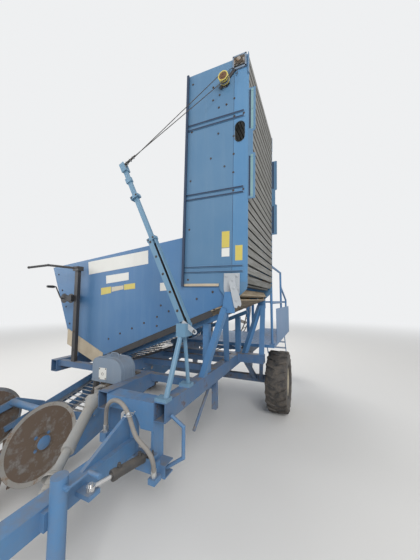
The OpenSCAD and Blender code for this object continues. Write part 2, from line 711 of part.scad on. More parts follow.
module share() color([0.48, 0.40, 0.34]) {
    // two pointed blades on a cross bar
    translate([row_x, web_y - 150, web_z - 75]) {
        for (s = [-1, 1]) mirror([s > 0 ? 1 : 0, 0, 0])
            rotate([18, 0, 0]) linear_extrude(12)
                polygon([[4, 60], [channel_w / 2 - 8, 60], [channel_w / 2 - 8, -70], [170, -230], [4, -70]]);
        translate([-channel_w / 2, 25, -20]) cube([channel_w, 30, 34]);
    }
    for (x = [channel_x0 - 15, channel_x1 + 5])
        translate([x, web_y - 160, web_z - 100]) cube([10, 130, 90]);
}

coulter_y = web_y - 260;
coulter_z = web_z + 190;
roller_y = web_y - 640;
roller_z = web_z + 50;
coulter_x = channel_w / 2 + 62;

module coulter_arms() color(blue) {
    for (s = [-1, 1]) {
        x = row_x + s * (channel_w / 2 + 40);
        z = web_z + 300;
        // long arm from the channel's rail to the roller's fork
        bar([x, web_y + 200, web_z + 175], [x, web_y - 60, z], 30, 60);
        bar([x, web_y - 40, z], [x, roller_y, roller_z + 120], 26, 60);
        translate([x - 8, roller_y - 35, roller_z - 35]) cube([16, 70, 180]);
        // stalk and spindle of the coulter
        translate([x - 11, coulter_y - 25, coulter_z - 30]) cube([22, 50, z - coulter_z]);
        along_x([x + s * 20, coulter_y, coulter_z], 40, 40);
    }
    rod([channel_x0 - 40, web_y - 90, web_z + 300], [channel_x1 + 40, web_y - 90, web_z + 300], 60);
    along_x([row_x, roller_y, roller_z], 40, channel_w + 96);
}

// Disc coulter on the side s of the row
module coulter(s) color([0.50, 0.44, 0.40])
    translate([row_x + s * (channel_w / 2 + 62), coulter_y, coulter_z]) rotate([0, s * 90, 0])
        difference() {
            rotate_extrude($fn = 96) polygon([[0, 0], [50, 0], [50, 0], [coulter_d / 2 - 30, 6],
                [coulter_d / 2, 16], [coulter_d / 2, 18], [coulter_d / 2 - 30, 14], [55, 10],
                [55, 34], [0, 34]]);
            translate([0, 0, -3]) cylinder(d = 40 + 2 * run_gap, h = 24);
        }
module coulter_left() coulter(1);
module coulter_right() coulter(-1);

module ridge_roller() color([0.50, 0.44, 0.40])
    translate([row_x - channel_w / 2 + 20, roller_y, roller_z]) rotate([0, 90, 0]) difference() {
        w = channel_w - 40;
        rotate_extrude($fn = 96) polygon([[21, 0], [roller_d / 2, 0], [roller_d / 2, 60],
            [roller_d / 2 - 75, w / 2 - 60], [roller_d / 2 - 75, w / 2 + 60],
            [roller_d / 2, w - 60], [roller_d / 2, w], [21, w]]);
        translate([0, 0, -1]) cylinder(d = 40 + 2 * run_gap, h = w + 2);
    }

lift_u = (lift_b - lift_a) / norm(lift_b - lift_a);

// Lift cylinder from the cross tube to the channel's rail
module lift_barrel() color(dark) difference() {
    union() {
        rod(lift_a + 62 * lift_u, lift_a + 290 * lift_u, 56);
        rod(lift_a + 10 * lift_u, lift_a + 70 * lift_u, 32);
        along_x(lift_a, 50, 34);
    }
    along_x(lift_a, 25 + 2 * run_gap, 40);
    rod(lift_a + 80 * lift_u, lift_a + 300 * lift_u, 28 + 2 * gap);
}

module lift_rod() color(steel) {
    rod(lift_a + 95 * lift_u, lift_b - 15 * lift_u, 28);
    along_x(lift_b, 46, 34);
}

// Ring elevator

module ring_elevator() color(steel) translate([ring_x, ring_y0 + ring_w, ring_z]) rotate([90, 0, 0]) {
    // two hoops, bars between them and the pocket blades
    for (z = [0, ring_w - 40]) translate([0, 0, z]) difference() {
        cylinder(r = ring_r, h = 40, $fn = 120);
        translate([0, 0, -1]) cylinder(r = ring_r - 12, h = 42, $fn = 120);
    }
    for (i = [0 : pockets * 3 - 1]) rotate(i * 120 / pockets)
        translate([ring_r - 14, -4, 10]) cube([8, 8, ring_w - 20]);
    for (i = [0 : pockets - 1]) rotate(i * 360 / pockets + 10 / pockets)
        translate([ring_r - blade, -3, 12]) cube([blade - 8, 6, ring_w - 24]);
}

module ring_cradle() color(blue) {
    y0 = ring_y0 - 8;
    y1 = ring_y0 + ring_w + 8;
    // beam against the rear ends of the frame
    // angle round the ring, roller that carries or guides it
    for (a = [-125, -55, 10, 170]) {
        p = [ring_x + (ring_r + 50 + gap) * cos(a), 0, ring_z + (ring_r + 50 + gap) * sin(a)];
        along_y([p.x, (y0 + y1) / 2, p.z], 100, ring_w);
        along_y([p.x, (y0 + y1) / 2, p.z], 30, y1 - y0 + 100);
    }
    // base beams, and posts at both sides, before and behind the ring
    xa = ring_x + (ring_r + 50) * cos(170);
    xb = ring_x + (ring_r + 50) * cos(10);
    zl = ring_z + (ring_r + 50) * sin(-55);
    for (y = [y0 - 40, y1]) {
        translate([xa - 25, y, zl - 30]) cube([xb - xa + 50, 40, 60]);
        for (x = [xa, xb]) translate([x - 25, y, zl - 30]) cube([50, 40, ring_z + 200 - zl]);
    }
    for (x = [xa, xb]) translate([x - 25, y0 - 40, zl - 30]) cube([50, y1 - y0 + 80, 60]);
    translate([xa - 25, y0 - 40, frame_top - beam_h]) cube([xb - xa + 350, 40, 60]);
}

module haulm_rollers() color(dark) {
    // bearing plates on the beams, two rollers above the upper end of the web
    rollers = [[pivot_y - 120, pivot_z + 270], [pivot_y + 5, pivot_z + 225]];
    for (x = plate_x) difference() {
        plate_yz([[pivot_y - 190, frame_top], [frame_rear, frame_top], [frame_rear, pivot_z + 290],
                  [pivot_y - 190, pivot_z + 340]], x, 12);
        along_x([x, pivot_y, pivot_z], pivot_d + 2 * run_gap, 60);
    }
    for (p = rollers) {
        along_x([row_x, p.x, p.y], 90, channel_w - 20);
        along_x([(plate_x[0] + plate_x[1] + 12) / 2, p.x, p.y], 30, plate_x[1] - plate_x[0] + 12);
    }
}

// Picking table and platform

module picking_table() {
    y0 = hopper_rear - 90;
    y1 = ring_y0 + ring_w - 40;
    color(dark) translate([table_x0 + 12, y0 + 45, table_z - 45]) rotate([90, 0, 90]) linear_extrude(
        table_x1 - table_x0 - 24) difference() {
        loop_2d(y1 - y0 - 90, 45);
        loop_2d(y1 - y0 - 90, 37);
    }
    color(dark) for (y = [y0 + 45, y1 - 45])
        along_x([(table_x0 + table_x1) / 2, y, table_z - 45], 72, table_x1 - table_x0 - 26);
    color(blue) {
        for (x = [table_x0, table_x1 - 5]) translate([x, y0, table_z - 110]) cube([5, y1 - y0, 190]);
        for (y = [y0 + 45, y1 - 45])
            along_x([(table_x0 + table_x1) / 2, y, table_z - 45], 30, table_x1 - table_x0 + 40);
        // legs down to the beams
        difference() {
            for (y = [880, 1500], x = [[table_x1 - 2, inner_x], [table_x0 + 2, right_x]])
                bar([x[0], y, table_z - 70], [x[1], y, frame_top - 30], 50, 40);
            translate([-1200, 700, frame_top - 100]) cube([1200, 1000, 100]);
        }
    }
}

module platform() color(blue) {
    t = 40;
    difference() {
        union() {
            translate([-120, 640, deck_z - t]) cube([deck_out + 120, frame_rear - 640 - 20, t]);
            translate([620, 1600, deck_z - t]) cube([deck_out - 620, deck_rear - 1600, t]);
        }
        // open grid under the floor sheet
        for (x = [-80 : 160 : 1040], y = [680 : 200 : 1500])
            translate([x, y, deck_z - t - 1]) cube([120, 160, t - 5]);
    }
    // brackets on the left beam and the inner beam
    for (y = [760, 1600], x = [left_x - 40, inner_x - 15])
        translate([x, y, frame_top]) cube([60, 60, deck_z - t - frame_top + 1]);
    // hinge bar of the ladder on its brackets
    along_x([(ladder_x0 + ladder_x1) / 2, ladder_y, ladder_z], 24, ladder_x1 - ladder_x0 + 60);
    for (x = [ladder_x0 - 28, ladder_x1 + 18])
        translate([x, deck_rear - 5, deck_z - t]) cube([10, ladder_y - deck_rear + 20, t]);
    // side board
    translate([deck_out - 6, 900, deck_z - 4]) cube([6, deck_rear - 900, 480]);
}

module railing() color(blue) {
    x = deck_out - 40;
    y1 = 1710;
    y2 = 2440;
    d = 34;
    h = deck_z + 1080;
    knee = deck_z + 560;
    // rails: from, to
    for (r = [[[x, 720, deck_z], [x, 720, h]], [[x, 720, h], [x, y1, h]], [[x, y1, h], [x, y1, deck_z]],
              [[x, y1, h - 250], [x, y2, h - 480]], [[x, y2, h - 480], [x, y2, deck_z]],
              [[x, 720, knee], [x, y1, knee]], [[x, y2, knee], [660, y2, knee]],
              [[660, y2, knee], [660, y2, deck_z]]])
        rod(r[0], r[1], d);
    for (p = [[x, 720, h], [x, y1, h], [x, y2, h - 480], [660, y2, knee]]) translate(p) sphere(d = d + 3);
    for (p = [[x, y1, h - 250], [x, 720, knee], [x, y1, knee], [x, y2, knee]]) translate(p) sphere(d = d + 5);
}

ladder_y = deck_rear + 36;
ladder_z = deck_z - 20;
ladder_x0 = 690;
ladder_x1 = 1090;

module ladder() color(blue) {
    // two rails on eyes round the hinge bar, four rungs
    foot = [0, 360, -560];
    difference() {
        union() {
            for (x = [ladder_x0, ladder_x1]) {
                bar([x, ladder_y, ladder_z], [x, ladder_y, ladder_z] + foot, 12, 46);
                along_x([x, ladder_y, ladder_z], 54, 16);
            }
            for (i = [1 : 4]) translate([ladder_x0, ladder_y + i * 90 - 60, ladder_z - i * 140 - 4])
                cube([ladder_x1 - ladder_x0, 120, 12]);
        }
        along_x([(ladder_x0 + ladder_x1) / 2, ladder_y, ladder_z], 24 + 2 * run_gap, 600);
    }
}

// Drawbar

module drawbar() color(blue) {
    w = 100;
    head_z0 = portal_z0 + 80 + gap;
    head_h = portal_z1 - portal_z0 - 80 - 2 * gap;
    difference() {
        union() {
            translate([bar_x, pin_y, head_z0]) cylinder(d = 90, h = head_h);
            translate([bar_x - w / 2, eye_y + 110, bar_z - 50]) cube([w, pin_y - eye_y - 110 - 30, 100]);
            plate_yz([[pin_y - 20, portal_z0 + 86], [pin_y - 20, portal_z1 - 6], [pin_y - 40, portal_z1 - 6],
                      [pin_y - 420, bar_z + 48], [pin_y - 420, bar_z - 40]], bar_x - 12, 24);
            // lug of the steering cylinder
            translate([bar_x + 30, steer_b.y - 35, bar_z - 12]) cube([120, 70, 24]);
            // jack bracket
            translate([bar_x + 40, jack_y - 40, bar_z - 40]) cube([18, 80, 80]);
        }
        translate([bar_x, pin_y, head_z0 - 1]) cylinder(d = pin_d + 2 * run_gap, h = head_h + 2);
        translate([bar_x - w / 2 + wall, eye_y + 120, bar_z - 50 + wall])
            cube([w - 2 * wall, pin_y - eye_y - 260, 100 - 2 * wall]);
    }
}

module hitch_eye() color(steel) difference() {
    union() {
        translate([bar_x, eye_y, bar_z - 20]) cylinder(d = eye_d + 70, h = 40);
        translate([bar_x - 35, eye_y + 20, bar_z - 20]) cube([70, 90 - gap, 40]);
    }
    translate([bar_x, eye_y, bar_z - 30]) cylinder(d = eye_d, h = 60);
}

jack_x = bar_x + 112;
jack_y = -1890;
jack_top = bar_z + 190;

module jack_body() {
    color(blue) difference() {
        translate([jack_x, jack_y, bar_z - 250]) cylinder(d = 76, h = 440);
        translate([jack_x, jack_y, bar_z - 251]) cylinder(d = 60.6, h = 420);
    }
    color(blue) translate([bar_x + 58 + gap, jack_y - 40, bar_z - 40]) cube([19, 80, 80]);
    color(steel) {
        rod([jack_x + 33, jack_y, jack_top - 40], [jack_x + 60, jack_y, jack_top - 40], 24);
        rod([jack_x + 55, jack_y, jack_top - 40], [jack_x + 55, jack_y + 120, jack_top - 40], 14);
        rod([jack_x + 55, jack_y + 115, jack_top - 40], [jack_x + 130, jack_y + 115, jack_top - 40], 24);
    }
}

module jack_leg() color(steel) {
    translate([jack_x, jack_y, 9]) cylinder(d = 60, h = bar_z - 120);
    translate([jack_x - 90, jack_y - 90, 0]) cube([180, 180, 10]);
}

steer_u = (steer_b - steer_a) / norm(steer_b - steer_a);

module steer_barrel() color(dark) difference() {
    union() {
        rod(steer_a + 48 * steer_u, steer_a + 255 * steer_u, 56);
        rod(steer_a + 10 * steer_u, steer_a + 60 * steer_u, 24);
        translate(steer_a - [0, 0, 13]) cylinder(d = 50, h = 26);
    }
    translate(steer_a - [0, 0, 40]) cylinder(d = 25 + 2 * run_gap, h = 80);
    rod(steer_a + 62 * steer_u, steer_a + 260 * steer_u, 24 + 2 * gap);
}

module steer_rod() color(steel) {
    rod(steer_a + 130 * steer_u, steer_b - 15 * steer_u, 24);
    translate(steer_b - [0, 0, 13]) cylinder(d = 46, h = 26);
    translate(steer_b) cylinder(d = 24, h = 24);
}

// Ring of n points round p, across the direction t
function ring_at(p, t, r, n) =
    let (u = t / norm(t), a = cross([0, 1, 0], u), s = a / norm(a), w = cross(u, s))
    [for (k = [0 : n - 1]) p + r * (cos(360 * k / n) * s + sin(360 * k / n) * w)];

// Round tube swept along a route
module sweep(path, r, n = 10) {
    last = len(path) - 1;
    points = [for (i = [0 : last])
        each ring_at(path[i], path[min(i + 1, last)] - path[max(i - 1, 0)], r, n)];
    ends = [[for (k = [0 : n - 1]) k], [for (k = [n - 1 : -1 : 0]) last * n + k]];
    sides = [for (i = [0 : last - 1], k = [0 : n - 1], half = [0, 1])
        let (a = i * n + k, b = i * n + (k + 1) % n)
        half == 0 ? [a, a + n, b + n] : [a, b + n, b]];
    polyhedron(points, concat(ends, sides));
}

module hydraulic_hose() color(dark) sweep(hose_path, hose_d / 2);

main_frame();
axle_beam();
front_portal();
gearbox();
pto_tube();
pto_yoke();
hopper_front_wall();
hopper_rear_wall();
hopper_slope();
hopper_floor();
hopper_legs();
rubber_skirt();
mast_tripod();
mast();
rope_mast_fall();
rope_elevator_fall();
hose_post();
elevator_front_side();
elevator_rear_side();
elevator_apron();
elevator_head();
wheel_left_tyre();
wheel_left_rim();
wheel_right_tyre();
wheel_right_rim();
channel_sides();
sieve_web();
share();
coulter_arms();
coulter_left();
coulter_right();
ridge_roller();
lift_barrel();
lift_rod();
ring_elevator();
ring_cradle();
haulm_rollers();
picking_table();
platform();
railing();
ladder();
drawbar();
hitch_eye();
jack_body();
jack_leg();
steer_barrel();
steer_rod();
hydraulic_hose();
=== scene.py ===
# Looks for the towed potato harvester. Metres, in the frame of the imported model:
# travel along -Y, +X is the machine's left side, Z up, origin on the ground.
import math
import random

import bmesh
import bpy
from mathutils import Matrix, Vector


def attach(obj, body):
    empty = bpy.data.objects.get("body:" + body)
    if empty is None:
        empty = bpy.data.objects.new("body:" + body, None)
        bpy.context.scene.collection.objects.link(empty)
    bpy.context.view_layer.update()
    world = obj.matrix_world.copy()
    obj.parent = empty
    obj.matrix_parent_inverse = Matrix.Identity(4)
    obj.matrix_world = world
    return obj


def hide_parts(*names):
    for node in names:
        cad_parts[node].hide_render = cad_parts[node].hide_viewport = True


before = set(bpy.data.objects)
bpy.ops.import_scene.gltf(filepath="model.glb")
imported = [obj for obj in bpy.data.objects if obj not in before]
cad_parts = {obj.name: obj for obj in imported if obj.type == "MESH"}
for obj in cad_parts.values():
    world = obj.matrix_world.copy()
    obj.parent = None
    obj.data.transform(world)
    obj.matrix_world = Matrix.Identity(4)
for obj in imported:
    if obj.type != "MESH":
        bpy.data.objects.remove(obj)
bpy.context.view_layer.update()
random.seed(7)
print("frame loaded:", len(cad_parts), "nodes")

# Camera, at the photograph's angle

view = {"place": (1.73, -2.70, 1.60), "yaw": 23.7, "pitch": 4.75, "lens": 15.49, "sensor": 36, "reach": 200}

cameraData = bpy.data.cameras.new("camera")
cameraData.lens = view["lens"]
cameraData.sensor_width = view["sensor"]
cameraData.sensor_fit = "AUTO"
cameraData.clip_end = view["reach"]
camera = bpy.data.objects.new("camera", cameraData)
camera.location = view["place"]
camera.rotation_euler = (math.radians(90 + view["pitch"]), 0, math.radians(view["yaw"]))
bpy.context.scene.collection.objects.link(camera)
bpy.context.scene.camera = camera
bpy.context.scene.view_settings.view_transform = "Standard"

# Node helpers


def newGroup(name, colours, numbers, vectors=(), outputs=("Roughness", "Height")):
    group = bpy.data.node_groups.new(name, "ShaderNodeTree")
    for kind, labels in (("Color", colours), ("Vector", vectors), ("Float", numbers)):
        for label in labels:
            group.interface.new_socket(name=label, in_out="INPUT", socket_type="NodeSocket" + kind)
    group.interface.new_socket(name="Color", in_out="OUTPUT", socket_type="NodeSocketColor")
    for label in outputs:
        group.interface.new_socket(name=label, in_out="OUTPUT", socket_type="NodeSocketFloat")
    return group, group.nodes.new("NodeGroupInput").outputs, group.nodes.new("NodeGroupOutput").inputs


def put(tree, kind, values, **settings):
    node = tree.nodes.new("ShaderNode" + kind)
    for key, value in settings.items():
        setattr(node, key, value)
    for key, value in values.items():
        if isinstance(value, bpy.types.NodeSocket):
            tree.links.new(value, node.inputs[key])
        else:
            node.inputs[key].default_value = value
    return node


def give(tree, out, **values):
    for key, value in values.items():
        tree.links.new(value, out[key])


def coordinates(tree, kind="Object"):
    return put(tree, "TexCoord", {}).outputs[kind]


def noise(tree, place, scale, detail=4, rough=0.6):
    values = {"Vector": place, "Scale": scale, "Detail": detail, "Roughness": rough}
    return put(tree, "TexNoise", values).outputs[0]


def band(tree, value, low, high, toLow=0.0, toHigh=1.0):
    values = {"Value": value, "From Min": low, "From Max": high, "To Min": toLow, "To Max": toHigh}
    return put(tree, "MapRange", values, clamp=True).outputs[0]


def sums(tree, operation, a, b):
    return put(tree, "Math", {0: a, 1: b}, operation=operation, use_clamp=True).outputs[0]


def times(tree, a, b):
    return sums(tree, "MULTIPLY", a, b)


def plus(tree, a, b):
    return sums(tree, "ADD", a, b)


def above(tree, value, limit, width):
    # 0 up to the limit, 1 from the width past it
    return band(tree, put(tree, "Math", {0: value, 1: limit}, operation="SUBTRACT").outputs[0], 0.0, width)


def upPart(tree, vector):
    return put(tree, "SeparateXYZ", {"Vector": vector}).outputs["Z"]


def blend(tree, factor, a, b):
    return put(tree, "Mix", {0: factor, 6: a, 7: b}, data_type="RGBA").outputs[2]


# Shared effects: weathered paint, bare metal, wood and rubber


def makePaintAge():
    group, given, out = newGroup("paintAge", ["Paint", "Chalk", "Rust", "Dirt"],
                                 ["Chalking", "Rusting", "Soiling", "Gloss"])
    place = coordinates(group)
    broad = noise(group, place, 1.3, 5)
    fine = noise(group, place, 42.0, 3)
    patch = noise(group, place, 9.0, 8, 0.72)
    runs = put(group, "Mapping", {"Vector": place, "Scale": (16, 16, 1.1)}).outputs[0]
    streak = noise(group, runs, 1.0, 5, 0.65)
    chalkMask = times(group, band(group, broad, 0.3, 0.75), given["Chalking"])
    colour = blend(group, chalkMask, given["Paint"], given["Chalk"])
    colour = blend(group, times(group, band(group, streak, 0.5, 0.8), 0.35), colour, given["Chalk"])
    # soil gathers low down and on faces that look up
    low = band(group, upPart(group, place), 1.3, 0.1, 0.0, 0.55)
    upward = upPart(group, put(group, "NewGeometry", {}).outputs["Normal"])
    settled = plus(group, low, band(group, upward, 0.35, 0.95, 0.0, 0.55))
    soil = times(group, times(group, settled, band(group, patch, 0.35, 0.65)), given["Soiling"])
    colour = blend(group, soil, colour, given["Dirt"])
    limit = sums(group, "SUBTRACT", 0.78, times(group, given["Rusting"], 0.3))
    rust = above(group, patch, limit, 0.09)
    rough = plus(group, given["Gloss"], times(group, chalkMask, 0.25))
    give(group, out, Color=blend(group, rust, colour, given["Rust"]),
         Roughness=plus(group, rough, times(group, plus(group, soil, rust), 0.35)),
         Height=plus(group, times(group, rust, 0.6), times(group, fine, 0.3)))
    return group


def makeMetalWear():
    group, given, out = newGroup("metalWear", ["Metal", "Tarnish", "Dirt"], ["Tarnishing", "Gloss"],
                                 outputs=("Roughness", "Metallic", "Height"))
    place = coordinates(group)
    patch = noise(group, place, 14.0, 8, 0.7)
    fine = noise(group, place, 90.0, 3)
    broad = noise(group, place, 3.0, 3)
    limit = sums(group, "SUBTRACT", 0.85, times(group, given["Tarnishing"], 0.7))
    mask = above(group, patch, limit, 0.14)
    colour = blend(group, mask, given["Metal"], given["Tarnish"])
    soil = times(group, band(group, broad, 0.45, 0.7), 0.35)
    worn = plus(group, mask, soil)
    give(group, out, Color=blend(group, soil, colour, given["Dirt"]),
         Roughness=plus(group, given["Gloss"], times(group, worn, 0.4)),
         Metallic=sums(group, "SUBTRACT", 0.9, times(group, worn, 0.75)),
         Height=plus(group, times(group, mask, 0.5), times(group, fine, 0.4)))
    return group


def makeGrain():
    group, given, out = newGroup("slatGrain", ["Light", "Dark"], ["Soiling", "Underside"], ["Stretch"])
    place = coordinates(group)
    along = put(group, "VectorMath", {0: place, 1: given["Stretch"]}, operation="MULTIPLY").outputs[0]
    grain = noise(group, along, 1.0, 6, 0.65)
    broad = noise(group, place, 5.0, 5, 0.7)
    colour = blend(group, band(group, grain, 0.35, 0.7), given["Light"], given["Dark"])
    soil = times(group, band(group, broad, 0.42, 0.7), given["Soiling"])
    colour = blend(group, soil, colour, given["Dark"])
    # painted shade: faces that look down are darkened nearly to black
    downShade = band(group, upPart(group, coordinates(group, "Normal")), -0.85, -0.4, 1.0, 0.0)
    colour = blend(group, times(group, downShade, given["Underside"]), colour, (0.022, 0.020, 0.018, 1))
    give(group, out, Color=colour, Roughness=band(group, grain, 0.2, 0.8, 0.65, 0.9), Height=grain)
    return group


def makeScuff():
    group, given, out = newGroup("rubberScuff", ["Rubber", "Dust"], ["Dusting"])
    place = coordinates(group)
    patch = noise(group, place, 11.0, 7, 0.7)
    mask = times(group, band(group, patch, 0.38, 0.7), given["Dusting"])
    give(group, out, Color=blend(group, mask, given["Rubber"], given["Dust"]),
         Roughness=plus(group, 0.6, times(group, mask, 0.4)), Height=noise(group, place, 120.0, 2))
    return group


paintAge = makePaintAge()
metalWear = makeMetalWear()
slatGrain = makeGrain()
rubberScuff = makeScuff()


def finished(name, group, bump, **values):
    material = bpy.data.materials.new(name)
    material.use_nodes = True
    tree = material.node_tree
    shader = tree.nodes["Principled BSDF"].inputs
    effect = tree.nodes.new("ShaderNodeGroup")
    effect.node_tree = group
    for key, value in values.items():
        isColour = effect.inputs[key].type == "RGBA"
        effect.inputs[key].default_value = (*value, 1) if isColour else value
    for key, socket in (("Color", "Base Color"), ("Roughness", "Roughness"), ("Metallic", "Metallic")):
        if key in effect.outputs:
            tree.links.new(effect.outputs[key], shader[socket])
    relief = put(tree, "Bump", {"Height": effect.outputs["Height"], "Distance": bump, "Strength": 0.5})
    tree.links.new(relief.outputs[0], shader["Normal"])
    return material


def paint(name, colour, chalk, rusting, soiling, chalking=0.5, gloss=0.38):
    return finished(name, paintAge, 0.0006, Paint=colour, Chalk=chalk, Rust=(0.115, 0.058, 0.034),
                    Dirt=(0.21, 0.175, 0.135), Chalking=chalking, Rusting=rusting, Soiling=soiling,
                    Gloss=gloss)


def metal(name, colour, tarnish, tarnishing, gloss=0.35):
    return finished(name, metalWear, 0.0004, Metal=colour, Tarnish=tarnish, Dirt=(0.16, 0.13, 0.10),
                    Tarnishing=tarnishing, Gloss=gloss)


def rubber(name, colour, dusting, dust=(0.24, 0.20, 0.16)):
    return finished(name, rubberScuff, 0.0003, Rubber=colour, Dust=dust, Dusting=dusting)


def slats(name, light, dark, soiling, undersideShade):
    return finished(name, slatGrain, 0.0008, Light=light, Dark=dark, Stretch=(60, 3, 60), Soiling=soiling,
                    Underside=undersideShade)


# paint: colour, chalked colour, rust, soil
bluePaint = paint("blueFramePaint", (0.052, 0.165, 0.355), (0.135, 0.28, 0.46), 0.4, 0.8)
# painted shade: a darker copy of the frame blue for the shaded beams, with heavy soiling as real dirt
shadedSoiledPaint = paint("shadedSoiledBeamPaint", (0.040, 0.120, 0.265), (0.09, 0.18, 0.30), 0.62, 1.5)
palePaint = paint("paleBarPaint", (0.105, 0.225, 0.345), (0.20, 0.32, 0.42), 0.3, 0.35)
panelPaint = paint("bluePanelPaint", (0.078, 0.182, 0.315), (0.145, 0.245, 0.355), 0.15, 0.3, gloss=0.34)
boardPaint = paint("blueBoardPaint", (0.047, 0.150, 0.325), (0.125, 0.235, 0.375), 0.15, 0.3, gloss=0.33)
edgePaint = paint("blueEdgePaint", (0.072, 0.200, 0.375), (0.15, 0.28, 0.42), 0.15, 0.3, gloss=0.34)
# painted shade: navy for the ribs' edges, the inner flange and the slots' backs
shadeNavyPaint = paint("paintedShadeNavy", (0.012, 0.028, 0.065), (0.03, 0.055, 0.10), 0.2, 0.3)
stripPaint = paint("paleStripPaint", (0.17, 0.30, 0.32), (0.27, 0.40, 0.41), 0.1, 0.4)
lugPaint = paint("greyLugPaint", (0.40, 0.43, 0.46), (0.52, 0.54, 0.56), 0.45, 0.5)
creamPaint = paint("creamRimPaint", (0.55, 0.50, 0.38), (0.63, 0.58, 0.47), 0.5, 0.8)
blackPaint = paint("blackPaint", (0.025, 0.025, 0.028), (0.07, 0.07, 0.07), 0.25, 0.5)
deckPaint = paint("deckPaint", (0.07, 0.19, 0.38), (0.19, 0.33, 0.50), 0.6, 1.0)
coverPaint = paint("greyCoverPaint", (0.15, 0.21, 0.29), (0.27, 0.32, 0.38), 0.25, 0.8)
whitePlate = paint("whitePlatePaint", (0.72, 0.72, 0.69), (0.62, 0.62, 0.58), 0.05, 0.3, chalking=0.6)
beigePlate = paint("beigePlatePaint", (0.52, 0.47, 0.36), (0.58, 0.54, 0.44), 0.05, 0.3)
yellowPlate = paint("yellowPlatePaint", (0.55, 0.45, 0.09), (0.60, 0.53, 0.22), 0.05, 0.3)
# metal: colour, tarnished colour, tarnish, roughness
dullSteel = metal("dullSteel", (0.42, 0.41, 0.39), (0.20, 0.13, 0.08), 0.55)
rustySteel = metal("rustySteel", (0.25, 0.20, 0.165), (0.16, 0.085, 0.048), 0.85, 0.5)
wornSteel = metal("wornSteel", (0.50, 0.48, 0.45), (0.30, 0.20, 0.13), 0.45, 0.3)
chromeSteel = metal("chromeSteel", (0.66, 0.66, 0.66), (0.35, 0.30, 0.25), 0.15, 0.12)
castGrey = metal("castGrey", (0.20, 0.20, 0.20), (0.10, 0.08, 0.06), 0.7, 0.55)
zincSteel = metal("zincSteel", (0.55, 0.56, 0.56), (0.40, 0.36, 0.30), 0.4, 0.4)
boltSteel = metal("boltSteel", (0.085, 0.09, 0.10), (0.07, 0.045, 0.03), 0.6, 0.5)
discSteel = metal("discSteel", (0.30, 0.285, 0.27), (0.15, 0.108, 0.08), 0.7, 0.45)
ringSteel = metal("ringSteel", (0.27, 0.275, 0.275), (0.16, 0.12, 0.09), 0.6, 0.5)
# rubber: colour, dust, colour of the dust
tyreRubber = rubber("tyreRubber", (0.030, 0.030, 0.031), 0.55)
beltRubber = rubber("beltRubber", (0.035, 0.035, 0.036), 0.35)
hoseRubber = rubber("hoseRubber", (0.21, 0.20, 0.19), 0.7, (0.36, 0.33, 0.29))
skirtRubber = rubber("skirtRubber", (0.50, 0.43, 0.32), 0.5, (0.36, 0.29, 0.21))
ropeSteel = rubber("greasedRope", (0.055, 0.052, 0.050), 0.35, (0.12, 0.10, 0.085))
guardPlastic = rubber("guardPlastic", (0.29, 0.295, 0.29), 0.6, (0.38, 0.34, 0.29))
# slats: light, dark, soil, painted shade on the faces that look down
apronSlats = slats("apronSlats", (0.29, 0.295, 0.285), (0.15, 0.145, 0.13), 0.4, 0.9)
floorSlats = slats("floorSlats", (0.50, 0.42, 0.30), (0.24, 0.18, 0.12), 0.5, 0.5)
print("materials made")

nodeFinish = {
    bluePaint: ["front_portal", "hopper_legs", "channel_sides", "coulter_arms", "ring_cradle", "platform",
                "railing", "ladder", "drawbar", "jack_body"],
    shadedSoiledPaint: ["main_frame", "axle_beam"],
    palePaint: ["mast_tripod", "mast"],
    boardPaint: ["hopper_front_wall", "hopper_rear_wall", "hopper_slope"],
    panelPaint: ["elevator_front_side", "elevator_rear_side"],
    coverPaint: ["gearbox"],
    creamPaint: ["wheel_left_rim", "wheel_right_rim"],
    blackPaint: ["hose_post", "lift_barrel", "steer_barrel"],
    apronSlats: ["elevator_apron"],
    floorSlats: ["hopper_floor"],
    skirtRubber: ["rubber_skirt"],
    hoseRubber: ["hydraulic_hose"],
    ropeSteel: ["rope_mast_fall", "rope_elevator_fall"],
    tyreRubber: ["wheel_left_tyre", "wheel_right_tyre"],
    beltRubber: ["haulm_rollers", "picking_table"],
    guardPlastic: ["pto_tube", "pto_yoke"],
    discSteel: ["share", "coulter_left", "coulter_right", "ridge_roller"],
    wornSteel: ["sieve_web"],
    ringSteel: ["ring_elevator"],
    dullSteel: ["elevator_head", "jack_leg"],
    castGrey: ["hitch_eye"],
    chromeSteel: ["lift_rod", "steer_rod"]}
for material, names in nodeFinish.items():
    for name in names:
        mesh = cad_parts[name].data
        mesh.materials.clear()
        mesh.materials.append(material)

# Mesh helpers

fullTurn = 2 * math.pi
toFront, toRear, crosswise = (0, -1, 0), (0, 1, 0), Vector((0, 1, 0))


def piece(name, bm, material, body, bevel=0.0, angle=35):
    mesh = bpy.data.meshes.new(name)
    bmesh.ops.recalc_face_normals(bm, faces=bm.faces)
    bm.to_mesh(mesh)
    bm.free()
    for polygon in mesh.polygons:
        polygon.use_smooth = True
    mesh.set_sharp_from_angle(angle=math.radians(angle))
    mesh.materials.append(material)
    thing = bpy.data.objects.new(name, mesh)
    bpy.context.scene.collection.objects.link(thing)
    if bevel:
        edge = thing.modifiers.new("edge", "BEVEL")
        edge.width = bevel
        edge.segments = 2
        edge.limit_method = "ANGLE"
    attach(thing, body)
    return thing


def skin(bm, rings, closed=False):
    # faces between rings of equal count, and caps unless the last ring joins the first
    count = len(rings[0])
    for a, b in zip(rings, rings[1:] + rings[:1] if closed else rings[1:]):
        for i in range(count):
            j = (i + 1) % count
            bm.faces.new((a[i], a[j], b[j], b[i]))
    if not closed:
        bm.faces.new(rings[0][::-1])
        bm.faces.new(rings[-1])


def addBox(bm, low, high, turn=Matrix()):
    low, high = Vector(low), Vector(high)
    made = bmesh.ops.create_cube(bm, size=1)["verts"]
    size = Matrix.Diagonal((*(high - low), 1))
    bmesh.ops.transform(bm, matrix=turn @ Matrix.Translation((low + high) / 2) @ size, verts=made)


def addPrism(bm, points, offset):
    skin(bm, [[bm.verts.new(p) for p in points], [bm.verts.new(p + Vector(offset)) for p in points]])


